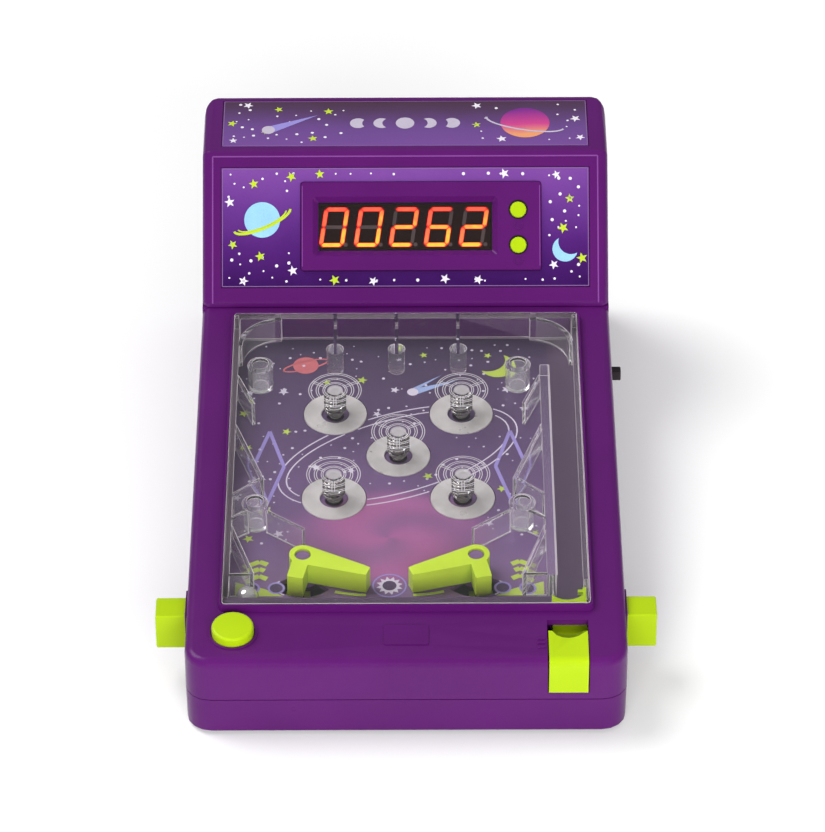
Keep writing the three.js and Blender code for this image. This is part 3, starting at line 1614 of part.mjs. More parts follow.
solidPiece(game, 'switch_knob', switchKnob(), 'black');
solidPiece(game, 'switch_body', switchBody(), 'steel');
solidPiece(game, 'battery_door', batteryDoor(), 'purple');
const doorScrew = screw(0, doorScrewY, 0, doorThickness / 2, doorScrewLength);
solidPiece(game, 'door_screw', doorScrew, 'steel');
for (let index = 0; index < cellCount; index += 1) {
  solidPiece(game, `battery_${index + 1}`, cell(index), 'cell');
}
solidPiece(game, 'battery_contact_left', batteryContact(-1), 'steel');
solidPiece(game, 'battery_contact_right', batteryContact(1), 'steel');
solidPiece(game, 'main_board', mainBoard(), 'board');
solidPiece(game, 'speaker', speaker(), 'black');
footSpots.forEach((spot, index) => solidPiece(game, `foot_${index + 1}`, foot(spot), 'rubber'));
screwSpots.forEach(([x, y], index) => {
  const solid = screw(x, y, screwSink, screwHeadHeight, screwLength);
  solidPiece(game, `case_screw_${index + 1}`, solid, 'steel');
});

export default game;
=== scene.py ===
"""The finish of a tabletop pinball game, built round its fixed frame."""
import json
import math
import random

import bmesh
import bpy
from bpy.props import FloatProperty, FloatVectorProperty, IntProperty, PointerProperty
from mathutils import Matrix, Vector


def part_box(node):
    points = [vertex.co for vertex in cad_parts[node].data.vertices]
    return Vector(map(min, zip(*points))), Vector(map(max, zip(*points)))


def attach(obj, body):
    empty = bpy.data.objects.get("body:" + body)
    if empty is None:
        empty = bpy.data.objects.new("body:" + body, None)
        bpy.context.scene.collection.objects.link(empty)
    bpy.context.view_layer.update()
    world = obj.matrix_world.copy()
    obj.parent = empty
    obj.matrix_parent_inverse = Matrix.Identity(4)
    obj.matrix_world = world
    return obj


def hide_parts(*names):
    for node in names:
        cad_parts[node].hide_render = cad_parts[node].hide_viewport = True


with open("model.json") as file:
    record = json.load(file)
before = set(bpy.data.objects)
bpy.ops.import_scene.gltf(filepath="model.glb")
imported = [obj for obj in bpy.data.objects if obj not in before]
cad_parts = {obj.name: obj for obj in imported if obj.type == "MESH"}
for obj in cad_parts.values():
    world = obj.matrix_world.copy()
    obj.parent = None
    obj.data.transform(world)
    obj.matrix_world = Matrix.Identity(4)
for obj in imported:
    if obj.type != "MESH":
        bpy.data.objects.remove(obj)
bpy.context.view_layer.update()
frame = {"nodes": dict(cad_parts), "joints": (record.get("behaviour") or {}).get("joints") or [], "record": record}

bl_info = {
    "name": "Tabletop pinball game",
    "version": (1, 0, 0),
    "blender": (4, 5, 0),
    "location": "3D View > Sidebar > Pinball",
    "description": "Builds the finished pieces of a tabletop pinball game round its frame",
    "category": "Object",
}

# Lengths are metres, as the frame's are. MM turns millimetres into them.
MM = 0.001
HAIR = 0.04 * MM
# Length of the short pieces that a line is laid in where parts of it are left out
DASH = 1.2 * MM

# Driving sizes that the frame's boxes and joints don't give
FRONT_HEIGHT = 30.8 * MM
FACE_REACH = 184 * MM
FACE_LENGTH = 58.1 * MM
RIM_HEIGHT = 2.5 * MM
PANE_THICKNESS = 2 * MM
COVER_WALL = 2 * MM
LABEL_WIDE = 133.5 * MM
LABEL_LOW = 8.4 * MM
LABEL_HIGH = 52 * MM
TOP_LABEL_LOW = 3.1 * MM
TOP_LABEL_HIGH = 30.6 * MM
BEZEL_LEFT = -37.8 * MM
BEZEL_RIGHT = 49.2 * MM
BEZEL_LOW = 14.4 * MM
BEZEL_HIGH = 46.6 * MM
BEZEL_PROUD = 1.2 * MM
FAN_INNER = 5.6 * MM
FAN_OUTER = 12.3 * MM
FAN_LOW = math.radians(-151)
DISC_HOLE = 4.95 * MM
DISC_RADIUS = 11.2 * MM
FIELD_RIGHT = 47.8 * MM
LANE_LEFT = 51 * MM
LEDGE_REAR = 30.4 * MM
PRINT_FRONT = 41.2 * MM
PRINT_REAR = 175.5 * MM
SKY_FRONT = 40 * MM
SKY_REAR = 175 * MM
PILLAR_SPOTS = ((-51.9, 77.7), (40, 77.7), (-51.9, 151.7), (40, 151.7),
                (-25.35, 160.7), (-3.25, 160.7), (18.85, 160.7))
PILLAR_RADIUS = 4.5 * MM
DISH_RADIUS = 9 * MM
DISH_SLACK = 0.35 * MM
DISH_MIDDLE = Vector((53.95, 16.55, 7.4)) * MM
# Corners sharper than the first turn stay crisp, and those sharper than the second are rounded
CRISP_TURN = math.radians(35)
ROUNDED_TURN = math.radians(38)


def srgb(*screen):
    """A colour given as screen values from 0 to 255, in the linear values that shaders take."""
    shares = [value / 255 for value in screen]
    return (*(share / 12.92 if share <= 0.04045 else ((share + 0.055) / 1.055) ** 2.4
              for share in shares), 1.0)


def joint(name):
    return next(entry for entry in frame["joints"] if entry["name"] == name)


def middle(node):
    low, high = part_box(node)
    return (low + high) / 2


# Places of the sloped parts

def tilted_place(origin, normal):
    """A frame at origin with z along normal, x to the right and y up the slope."""
    up = Vector(normal).normalized()
    across = Vector((1, 0, 0))
    rows = Matrix((across, up.cross(across), up)).transposed().to_4x4()
    return Matrix.Translation(origin) @ rows


FRONT_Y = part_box("upper_shell")[0].y
DECK_NORMAL = Vector(joint("left_flipper_swing")["axis"])
DECK = tilted_place((0, FRONT_Y, FRONT_HEIGHT), DECK_NORMAL)
DECK_TURN = DECK.inverted().to_3x3()
SLOPE = math.atan2(-DECK_NORMAL.y, DECK_NORMAL.z)
FACE_NORMAL = -Vector(joint("power_button_press")["axis"])
FACE_BASE = Vector((0, FRONT_Y + FACE_REACH, FRONT_HEIGHT + FACE_REACH * math.tan(SLOPE)))
FACE = tilted_place(FACE_BASE, FACE_NORMAL)
TOP = tilted_place(FACE @ Vector((0, FACE_LENGTH, 0)), DECK_NORMAL)


def on_deck(point):
    return DECK.inverted() @ Vector(point)


def on_face(point):
    return FACE.inverted() @ Vector(point)


BALL_MIDDLE = middle("ball")
BALL_RADIUS = (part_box("ball")[1].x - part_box("ball")[0].x) / 2
FLOOR = on_deck(BALL_MIDDLE).z - BALL_RADIUS
BUMPERS = [on_deck(middle(f"contact_disc_{count}")).xy for count in range(1, 6)]
PIVOTS = [on_deck(joint(f"{side}_flipper_swing")["pos_m"]).xy for side in ("left", "right")]
TRAY_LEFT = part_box("playfield_tray")[0].x
PRINT_LEFT = TRAY_LEFT + 3 * MM
PRINT_MIDDLE = (PIVOTS[0].x + PIVOTS[1].x) / 2


# Mesh pieces

def new_object(name, mesh):
    """The finished mesh as an object in the scene."""
    data = bpy.data.meshes.new(name)
    mesh.to_mesh(data)
    mesh.free()
    return link_object(name, data)


def link_object(name, data):
    piece = bpy.data.objects.new(name, data)
    bpy.context.scene.collection.objects.link(piece)
    return piece


def add_piece(name, mesh, body, material):
    """The finished mesh as a piece that rides on a body."""
    piece = new_object(name, mesh)
    piece.data.materials.append(material)
    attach(piece, body)
    return piece


def slot_of(node):
    return next(entry["material_slot"] for entry in frame["record"]["subparts"]
                if entry["node"] == node)


def replace_node(node, mesh, material, ending="finished"):
    """The finished mesh in the place of a node, on its body."""
    bodies = frame["record"]["behaviour"]["bodies"]
    body = next(name for name, nodes in bodies.items() if node in nodes)
    piece = add_piece(f"{node}_{ending}", mesh, body, material)
    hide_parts(node)
    return piece


def own_form(node):
    """The node's own mesh, joined at its corners and smooth over its faces."""
    mesh = bmesh.new()
    mesh.from_mesh(frame["nodes"][node].data)
    bmesh.ops.remove_doubles(mesh, verts=mesh.verts, dist=HAIR / 40)
    for face in mesh.faces:
        face.smooth = True
    return mesh


def sharpen(mesh):
    """Leaves only the corners of a mesh crisp."""
    for edge in mesh.edges:
        edge.smooth = len(edge.link_faces) == 2 and edge.calc_face_angle() < CRISP_TURN
    return mesh


def rounded_piece(node, material, edge):
    """The node's own form with its sharp edges rounded and its faces smoothly shaded."""
    piece = replace_node(node, own_form(node), material)
    bevel = piece.modifiers.new("edge rounding", "BEVEL")
    bevel.width = edge
    bevel.segments = 3
    bevel.limit_method = "ANGLE"
    bevel.angle_limit = ROUNDED_TURN
    bevel.miter_outer = "MITER_ARC"
    weight = piece.modifiers.new("even shading", "WEIGHTED_NORMAL")
    weight.mode = "FACE_AREA_WITH_ANGLE"
    weight.keep_sharp = True
    return piece


def join_rows(mesh, lower, upper):
    """Quads between two closed rows of corners."""
    for at in range(len(lower)):
        after = (at + 1) % len(lower)
        mesh.faces.new((lower[at], lower[after], upper[after], upper[at]))


def printed_sheet(name, outlines, place, level, material):
    """Flat inked shapes, each an outline of (x, y) points, lying at one level of a place."""
    mesh = bmesh.new()
    for outline in outlines:
        mesh.faces.new([mesh.verts.new(place @ Vector((x, y, level))) for x, y in outline])
    add_piece(name, mesh, "casing", material)


def raised_shapes(name, outlines, low, high, material):
    """Shapes on the head's face with a thickness, from a low level to a high one."""
    mesh = bmesh.new()
    for outline in outlines:
        bottom, top = ([mesh.verts.new(FACE @ Vector((x, y, level))) for x, y in outline]
                       for level in (low, high))
        mesh.faces.new(bottom[::-1])
        mesh.faces.new(top)
        join_rows(mesh, bottom, top)
    add_piece(name, mesh, "casing", material)


# Outlines of inked shapes

def polar(x, y, reach, angle):
    return (x + reach * math.cos(angle), y + reach * math.sin(angle))


def turned(corners, x, y, turn):
    """Corners turned about zero and then moved to a place."""
    across, up = math.cos(turn), math.sin(turn)
    return [(x + a * across - b * up, y + a * up + b * across) for a, b in corners]


def star(x, y, radius, turn=0.0, points=5, inner_share=0.42):
    return [polar(x, y, radius * (inner_share if count % 2 else 1),
                  turn + math.pi / 2 + math.pi * count / points) for count in range(2 * points)]


def oval(x, y, wide, tall=None, turn=0.0, steps=24):
    tall = wide if tall is None else tall
    angles = [2 * math.pi * count / steps for count in range(steps)]
    return turned([(wide * math.cos(angle), tall * math.sin(angle)) for angle in angles],
                  x, y, turn)


def crescent(x, y, radius, turn, bite_share=0.75, steps=20):
    """A moon whose dark side is bitten out by a circle of the same size."""
    shift = radius * bite_share
    half = math.acos(shift / 2 / radius)
    rim = [polar(0, 0, radius, half + (2 * math.pi - 2 * half) * count / steps)
           for count in range(steps + 1)]
    bite = [polar(shift, 0, radius, math.pi + half - 2 * half * count / steps)
            for count in range(1, steps)]
    return turned(rim + bite, x, y, turn)


def stroke(points, width, closed=False, allowed=None, step=1.0):
    """Short quads along a line, left out where the line isn't allowed."""
    ends = points[1:] + points[:1] if closed else points[1:]
    quads = []
    for (x0, y0), (x1, y1) in zip(points, ends):
        run = math.hypot(x1 - x0, y1 - y0)
        side_x, side_y = -(y1 - y0) / run * width / 2, (x1 - x0) / run * width / 2
        count = max(1, math.ceil(run / step))
        for part in range(count):
            a, b = part / count, (part + 1) / count
            ax, ay = x0 + (x1 - x0) * a, y0 + (y1 - y0) * a
            bx, by = x0 + (x1 - x0) * b, y0 + (y1 - y0) * b
            if not allowed or allowed((ax + bx) / 2, (ay + by) / 2):
                quads.append([(ax - side_x, ay - side_y), (bx - side_x, by - side_y),
                              (bx + side_x, by + side_y), (ax + side_x, ay + side_y)])
    return quads


def ring_quads(x, y, radius, width, steps=64, start=0.0, end=2 * math.pi):
    return stroke([polar(x, y, radius, start + (end - start) * count / steps)
                   for count in range(steps + 1)], width)


def scattered(rng, count, x_range, y_range, apart, allowed):
    """Random places that keep their distance from each other."""
    places = []
    tries = 0
    while len(places) < count and tries < count * 60:
        tries += 1
        x, y = rng.uniform(*x_range), rng.uniform(*y_range)
        if allowed(x, y) and all(math.hypot(x - a, y - b) > apart for a, b in places):
            places.append((x, y))
    return places


def scattered_sky(rng, stars, dots, x_range, y_range, allowed):
    """Stars and then dots at random places, each given as (count, sizes, distance apart)."""
    count, sizes, apart = stars
    shapes = [star(x, y, rng.uniform(*sizes) * MM, rng.uniform(0, 1))
              for x, y in scattered(rng, count, x_range, y_range, apart, allowed)]
    count, sizes, apart, steps = dots
    spots = [oval(x, y, rng.choice(sizes) * MM, steps=steps)
             for x, y in scattered(rng, count, x_range, y_range, apart, allowed)]
    half = len(shapes) // 2
    return shapes[:half], shapes[half:] + spots


# Shader helpers

def feed(tree, node, inputs):
    """Links or sets the inputs of a node."""
    for key, value in inputs.items():
        if isinstance(value, bpy.types.NodeSocket):
            tree.links.new(value, node.inputs[key])
        else:
            node.inputs[key].default_value = value


def add_node(tree, kind, inputs, **settings):
    node = tree.nodes.new(kind)
    for key, value in settings.items():
        setattr(node, key, value)
    feed(tree, node, inputs)
    return node


def maths(tree, operation, first, second=0.0):
    return add_node(tree, "ShaderNodeMath", {0: first, 1: second}, operation=operation).outputs[0]


def mixed(tree, factor, first, second, blend="MIX"):
    node = add_node(tree, "ShaderNodeMix", {}, data_type="RGBA", blend_type=blend)
    feed(tree, node, {0: factor, 6: first, 7: second})
    return node.outputs[2]


def mixed_value(tree, factor, first, second):
    return add_node(tree, "ShaderNodeMix", {0: factor, 2: first, 3: second}).outputs[0]


def ramp(tree, factor, stops):
    node = add_node(tree, "ShaderNodeValToRGB", {0: factor})
    elements = node.color_ramp.elements
    while len(elements) < len(stops):
        elements.new(1.0)
    for element, (place, colour) in zip(elements, stops):
        element.position = place
        element.color = colour
    return node.outputs[0]


def mask(tree, factor, start, end):
    """Black up to a start and white from an end."""
    return ramp(tree, factor, [(start, (0, 0, 0, 1)), (end, (1, 1, 1, 1))])


def ranged(tree, value, low, high, start=0.0, end=1.0, **settings):
    """Runs from low to high while a value runs from start to end."""
    return add_node(tree, "ShaderNodeMapRange", {
        "Value": value, "From Min": start, "From Max": end, "To Min": low, "To Max": high},
        **settings).outputs[0]


def own_place(tree):
    """The place on the object, in its own space."""
    return add_node(tree, "ShaderNodeTexCoord", {}).outputs["Object"]


def noise(tree, scale, detail, place=None):
    return add_node(tree, "ShaderNodeTexNoise", {
        "Vector": place or own_place(tree), "Scale": scale, "Detail": detail}).outputs["Fac"]


def swing(tree, value, reach):
    """A share from 0 to 1 turned into a swing to both sides of zero."""
    return maths(tree, "MULTIPLY", maths(tree, "SUBTRACT", value, 0.5), reach)


def new_group(name, inputs):
    """A shader group with its named inputs, each a number or a colour."""
    group = bpy.data.node_groups.new(name, "ShaderNodeTree")
    for label, default in inputs.items():
        kind = "NodeSocketFloat" if isinstance(default, float) else "NodeSocketColor"
        socket = group.interface.new_socket(name=label, in_out="INPUT", socket_type=kind)
        socket.default_value = default
    return group, group.nodes.new("NodeGroupInput").outputs


def put_out(group, results, kind="NodeSocketFloat"):
    """Gives a shader group its named outputs."""
    for label in results:
        group.interface.new_socket(name=label, in_out="OUTPUT", socket_type=kind)
    feed(group, group.nodes.new("NodeGroupOutput"), results)
    return group


def moulded_surface_group():
    """The slight waviness and fine grain of an injection moulding."""
    group, given = new_group("Moulded surface", {
        "Grain Scale": 900.0, "Wave Scale": 60.0, "Wave Share": 0.6})
    wave = noise(group, given["Wave Scale"], 1.0)
    height = mixed_value(group, given["Wave Share"], noise(group, given["Grain Scale"], 3.0), wave)
    return put_out(group, {"Height": height, "Dullness": wave})


def edge_wear_group():
    """A mask along worn edges, broken up so that it doesn't look drawn."""
    group, given = new_group("Edge wear", {"Amount": 0.3})
    geometry = add_node(group, "ShaderNodeNewGeometry", {})
    edge = mask(group, geometry.outputs["Pointiness"], 0.52, 0.62)
    broken = maths(group, "MULTIPLY", edge, noise(group, 220.0, 4.0))
    return put_out(group, {"Mask": maths(group, "MULTIPLY", broken, given["Amount"])})


def fine_marks_group():
    """Hairline marks from handling, as a mask."""
    group, given = new_group("Fine marks", {"Amount": 0.2})
    stretch = add_node(group, "ShaderNodeMapping", {
        "Vector": own_place(group), "Scale": (90.0, 1400.0, 700.0), "Rotation": (0.3, 0.2, 0.5)})
    lines = mask(group, noise(group, 1.0, 2.0, stretch.outputs[0]), 0.66, 0.70)
    return put_out(group, {"Mask": maths(group, "MULTIPLY", lines, given["Amount"])})


def colour_drift_group():
    """A colour that wanders gently towards another one over the surface."""
    group, given = new_group("Colour drift", {
        "Colour": (0.5, 0.5, 0.5, 1), "Other Colour": (0.4, 0.4, 0.4, 1), "Scale": 40.0})
    soft = mask(group, noise(group, given["Scale"], 3.0), 0.35, 0.65)
    colour = mixed(group, soft, given["Colour"], given["Other Colour"])
    return put_out(group, {"Colour": colour}, "NodeSocketColor")


def printed_ink_group():
    """The fine screen dots of print, mixing two inks by a share."""
    group, given = new_group("Printed ink", {
        "Ink": (0.5, 0.5, 0.5, 1), "Other Ink": (0.4, 0.4, 0.4, 1), "Share": 0.5,
        "Screen": 2600.0})
    dots = add_node(group, "ShaderNodeTexVoronoi", {
        "Vector": own_place(group), "Scale": given["Screen"]})
    spread = swing(group, dots.outputs["Distance"], 0.35)
    share = add_node(group, "ShaderNodeClamp", {
        0: maths(group, "ADD", given["Share"], spread)}).outputs[0]
    colour = mixed(group, share, given["Ink"], given["Other Ink"])
    return put_out(group, {"Colour": colour}, "NodeSocketColor")


GROUPS = {
    "moulded": moulded_surface_group(),
    "wear": edge_wear_group(),
    "marks": fine_marks_group(),
    "drift": colour_drift_group(),
    "ink": printed_ink_group(),
}


def use_group(tree, key, inputs):
    return add_node(tree, "ShaderNodeGroup", inputs, node_tree=GROUPS[key])


def new_material(name):
    material = bpy.data.materials.new(name)
    material.use_nodes = True
    tree = material.node_tree
    return material, tree, tree.nodes["Principled BSDF"]


def scaled(colour, share, lift=0.0):
    """A colour made darker or paler."""
    return (*(min(1, value * share + lift) for value in colour[:3]), 1)


def drifting(tree, colour, other_share, scale):
    """A colour that wanders towards a deeper shade of itself."""
    return use_group(tree, "drift", {
        "Colour": colour, "Other Colour": scaled(colour, other_share), "Scale": scale}).outputs[0]


def screened(tree, shader, colour, deeper, share):
    """A changing colour printed with screen dots of a deeper one."""
    other = mixed(tree, 1.0, colour, deeper, blend="MULTIPLY")
    ink = use_group(tree, "ink", {"Ink": colour, "Other Ink": other, "Share": share})
    feed(tree, shader, {"Base Color": ink.outputs[0]})


def roughen(tree, shader, roughness, spread, scales, marks=0.0, depth=0.0, strength=0.2):
    """Gloss that varies round a roughness, with hairline marks and a fine bump if any."""
    moulded = use_group(tree, "moulded", scales)
    rough = ranged(tree, moulded.outputs["Dullness"], roughness * (1 - spread),
                   roughness * (1 + spread))
    if marks:
        lines = use_group(tree, "marks", {"Amount": marks})
        rough = maths(tree, "ADD", rough, lines.outputs[0])
    feed(tree, shader, {"Roughness": rough})
    if depth:
        bump = add_node(tree, "ShaderNodeBump", {
            "Height": moulded.outputs["Height"], "Strength": strength, "Distance": depth})
        feed(tree, shader, {"Normal": bump.outputs[0]})


def height_share(tree, place, low, high):
    """How far a point lies up the y of a place, from 0 at a low reach to 1 at a high one."""
    along = place.to_3x3().col[1]
    height = add_node(tree, "ShaderNodeVectorMath", {0: own_place(tree), 1: along},
                      operation="DOT_PRODUCT").outputs["Value"]
    base = along.dot(place.translation)
    return ranged(tree, maths(tree, "SUBTRACT", height, base), 0.0, 1.0, low, high)


# Finishes

def plastic_finish(name, colour, roughness, grain=900.0, depth=0.02 * MM, wear=0.25, shine=0.5,
                   alpha=1.0):
    """Moulded plastic: drifting colour, paler worn edges, slight waviness."""
    material, tree, shader = new_material(name)
    worn = use_group(tree, "wear", {"Amount": wear}).outputs[0]
    base = mixed(tree, worn, drifting(tree, colour, 0.9, 25.0), scaled(colour, 1.25, 0.03))
    feed(tree, shader, {"Base Color": base, "Specular IOR Level": shine, "Alpha": alpha})
    roughen(tree, shader, roughness, 0.15, {"Grain Scale": grain}, 0.12, depth, 0.35)
    return material


def metal_finish(name, colour, roughness, marks=0.0, metallic=1.0):
    """Bright metal with a little tarnish."""
    material, tree, shader = new_material(name)
    feed(tree, shader, {"Base Color": drifting(tree, colour, 0.8, 120.0), "Metallic": metallic})
    roughen(tree, shader, roughness, 0.2, {"Grain Scale": 2400.0, "Wave Scale": 200.0}, marks,
            0.01 * MM)
    return material


def clear_finish(name, tint, roughness, clarity=1.0, shadow=(1, 1, 1, 1), shine=0.5, body=1.0):
    """Clear plastic. Shadow rays pass it in the shadow's colour, so that what lies under it is
    lit."""
    material, tree, shader = new_material(name)
    feed(tree, shader, {
        "Base Color": drifting(tree, tint, 0.97, 60.0), "Specular IOR Level": shine,
        "Alpha": body, "Transmission Weight": clarity, "IOR": 1.47})
    roughen(tree, shader, roughness, 0.4,
            {"Grain Scale": 500.0, "Wave Scale": 45.0, "Wave Share": 0.9}, 0.05, 0.01 * MM, 0.15)
    light = add_node(tree, "ShaderNodeLightPath", {})
    passing = add_node(tree, "ShaderNodeBsdfTransparent", {"Color": shadow})
    join = add_node(tree, "ShaderNodeMixShader", {
        0: light.outputs["Is Shadow Ray"], 1: shader.outputs[0], 2: passing.outputs[0]})
    feed(tree, tree.nodes["Material Output"], {0: join.outputs[0]})
    return material


def ink_finish(name, colour, other=None):
    """Printed ink with its fine screen."""
    material, tree, shader = new_material(name)
    ink = use_group(tree, "ink", {
        "Ink": colour, "Other Ink": other or scaled(colour, 0.75),
        "Share": ranged(tree, noise(tree, 160.0, 2.0), 0.0, 0.6)})
    feed(tree, shader, {"Base Color": ink.outputs[0]})
    roughen(tree, shader, 0.4, 0.2, {"Grain Scale": 1800.0})
    return material


def graded_ink_finish(name, place, low, high, stops):
    """Print whose colour changes up the y of a place, between two reaches."""
    material, tree, shader = new_material(name)
    share = maths(tree, "ADD", height_share(tree, place, low, high),
                  swing(tree, noise(tree, 38.0, 4.0), 0.35))
    screened(tree, shader, ramp(tree, share, stops), (0.72, 0.7, 0.78, 1), 0.35)
    feed(tree, shader, {"Specular IOR Level": 0.1})
    roughen(tree, shader, 0.35, 0.2, {"Grain Scale": 1500.0, "Wave Scale": 50.0},
            depth=0.01 * MM)
    return material


def lit_finish(name, low, high, colours, strength):
    """A glowing bar of a digit, of one colour at its foot and another at its top."""
    material, tree, shader = new_material(name)
    share = maths(tree, "ADD", height_share(tree, FACE, low, high),
                  swing(tree, noise(tree, 420.0, 1.0), 1.3))
    colour = ramp(tree, share, [(0.1, colours[0]), (0.9, colours[1])])
    feed(tree, shader, {"Base Color": colour, "Emission Color": colour,
                        "Emission Strength": strength, "Roughness": 0.5})
    return material


def playfield_finish(name, galaxy, wide, tall):
    """The playfield's print: a graded sky, a soft swirl of magenta, and a plain lane."""
    material, tree, shader = new_material(name)
    turn = add_node(tree, "ShaderNodeVectorRotate", {
        "Vector": own_place(tree), "Center": DECK.translation, "Axis": (1, 0, 0),
        "Angle": -SLOPE}, rotation_type="AXIS_ANGLE")
    flat = add_node(tree, "ShaderNodeVectorMath", {0: turn.outputs[0], 1: DECK.translation},
                    operation="SUBTRACT")
    across, along, _ = add_node(tree, "ShaderNodeSeparateXYZ", {0: flat.outputs[0]}).outputs
    share = maths(tree, "ADD", ranged(tree, along, 0.0, 1.0, SKY_FRONT, SKY_REAR),
                  swing(tree, noise(tree, 24.0, 5.0), 0.5))
    sky = ramp(tree, share, [(0.0, srgb(116, 87, 128)), (0.3, srgb(106, 78, 122)),
                             (0.6, srgb(82, 58, 98)), (1.0, srgb(58, 42, 72))])
    from_x = maths(tree, "DIVIDE", maths(tree, "SUBTRACT", across, galaxy.x), wide)
    from_y = maths(tree, "DIVIDE", maths(tree, "SUBTRACT", along, galaxy.y), tall)
    squares = [maths(tree, "MULTIPLY", value, value) for value in (from_x, from_y)]
    reach = maths(tree, "SQRT", maths(tree, "ADD", *squares))
    angle = maths(tree, "ARCTAN2", from_y, from_x)
    wound = maths(tree, "ADD", maths(tree, "MULTIPLY", angle, 2.0),
                  maths(tree, "MULTIPLY", reach, 7.0))
    arms = maths(tree, "ADD", maths(tree, "MULTIPLY", maths(tree, "SINE", wound), 0.3), 0.78)
    fade = ranged(tree, reach, 1.0, 0.0, 0.6, 1.0, interpolation_type="SMOOTHSTEP")
    depth = maths(tree, "MULTIPLY", maths(tree, "MULTIPLY", arms, fade), 0.92)
    swirl = mixed(tree, depth, sky, srgb(158, 88, 140))
    bare = maths(tree, "MAXIMUM", maths(tree, "GREATER_THAN", across, LANE_LEFT),
                 maths(tree, "LESS_THAN", along, LEDGE_REAR))
    plain = mixed(tree, bare, swirl, srgb(74, 54, 80))
    screened(tree, shader, plain, (0.75, 0.72, 0.8, 1), 0.3)
    roughen(tree, shader, 0.44, 0.136, {"Grain Scale": 1400.0}, depth=0.01 * MM)
    return material


# Settings a user would change

class PinballCaseSettings(bpy.types.PropertyGroup):
    """Sizes and colours of the moulded case."""
    colour: FloatVectorProperty(
        name="Case colour", description="Colour of the moulded case", subtype="COLOR", size=4,
        min=0, max=1, default=srgb(87, 20, 101))
    edge: FloatProperty(
        name="Edge rounding", description="Radius on the case's sharp edges",
        default=0.3 * MM, min=0, unit="LENGTH")
    roughness: FloatProperty(
        name="Roughness", description="Gloss of the case, lower is glossier", subtype="FACTOR",
        default=0.3, min=0, max=1)


class PinballControlSettings(bpy.types.PropertyGroup):
    """Sizes and colours of the flippers, buttons and shooter."""
    colour: FloatVectorProperty(
        name="Control colour", description="Colour of the moulded controls", subtype="COLOR",
        size=4, min=0, max=1, default=srgb(173, 204, 12))
    edge: FloatProperty(
        name="Edge rounding", description="Radius on the controls' edges",
        default=0.45 * MM, min=0, unit="LENGTH")


class PinballCoverSettings(bpy.types.PropertyGroup):
    """The clear cover over the playfield."""
    tint: FloatVectorProperty(
        name="Cover tint", description="Colour of light through the cover", subtype="COLOR",
        size=4, min=0, max=1, default=(0.985, 0.98, 0.985, 1))
    # The edge width sets the painted highlight strips along the cover's edges
    edge: FloatProperty(
        name="Bright edge width", description="Width of the pale strips along the cover's edges",
        default=0.22 * MM, min=0, unit="LENGTH")


class PinballPrintSettings(bpy.types.PropertyGroup):
    """The printed sky of the playfield and labels."""
    dots: IntProperty(
        name="Dots", description="Number of small dots on the playfield", default=170, min=0)
    stars: IntProperty(
        name="Stars", description="Number of five-pointed stars on the playfield",
        default=26, min=0)
    seed: IntProperty(name="Seed", description="Start of the random places", default=7, min=0)


class PinballDisplaySettings(bpy.types.PropertyGroup):
    """The number display."""
    digit_height: FloatProperty(
        name="Digit height", description="Height of a digit", default=14.3 * MM, unit="LENGTH")
    digit_pitch: FloatProperty(
        name="Digit pitch", description="From one digit to the next", default=12.7 * MM,
        unit="LENGTH")
    segment: FloatProperty(
        name="Segment width", description="Width of a glowing segment", default=1.28 * MM,
        unit="LENGTH")
    slant: FloatProperty(
        name="Slant", description="Lean of the digits", default=math.radians(9), subtype="ANGLE")


class PinballStageSettings(bpy.types.PropertyGroup):
    """Camera and light."""
    distance: FloatProperty(
        name="Camera distance", description="From the front edge to the camera",
        default=1450 * MM, unit="LENGTH")
    elevation: FloatProperty(
        name="Camera elevation", description="Height of the view above the table",
        default=math.radians(35.5), subtype="ANGLE")
    lens: FloatProperty(
        name="Lens", description="Focal length on a 36 mm wide sensor", default=191.3)


def settings(name):
    return getattr(bpy.context.scene, f"pinball_{name}")


def finish_once(name, make, *values, **options):
    """The material of that name, made on its first use."""
    return bpy.data.materials.get(name) or make(name, *values, **options)


def case_plastic():
    case = settings("case")
    return finish_once("Housing plastic", plastic_finish, tuple(case.colour), case.roughness,
                       wear=0.12, shine=0.2)


def control_plastic():
    return finish_once("Control plastic", plastic_finish, tuple(settings("control").colour),
                       0.34, depth=0.015 * MM, wear=0.15, shine=0.2)


def dark_plastic():
    return finish_once("Dark plastic", plastic_finish, srgb(36, 26, 32), 0.5)


def bright_steel():
    return finish_once("Bright steel", metal_finish, srgb(178, 175, 172), 0.15)


INKS = {
    "White ink": srgb(206, 198, 214),
    "Lavender ink": srgb(146, 132, 196),
    "Lime ink": srgb(176, 196, 74),
    "Coral ink": srgb(196, 104, 110),
    "Pale blue ink": srgb(150, 170, 214),
    "Dusk ink": srgb(70, 52, 84),
    # Painted shade for the gaps round the head's keys
    "Seam ink": srgb(34, 10, 38),
    "Border ink": srgb(132, 96, 152),
    "Planet ink": srgb(160, 214, 240),
    "Bright lime ink": srgb(196, 220, 40),
    "Bright white ink": srgb(236, 230, 240),
    "Silver ink": srgb(196, 186, 206),
    "Comet ink": srgb(150, 140, 214),
}
DEEPER_INKS = {"Planet ink": srgb(120, 170, 220)}


def ink(name):
    return finish_once(name, ink_finish, INKS[name], DEEPER_INKS.get(name))


# Operators, one for each group of like pieces

class PinballBuildCase(bpy.types.Operator):
    """Round and finish the three case shells"""
    bl_idname = "pinball.build_case"
    bl_label = "Case shells"

    def execute(self, context):
        for node in ("upper_shell", "lower_shell", "head_housing"):
            rounded_piece(node, case_plastic(), settings("case").edge)
        return {"FINISHED"}


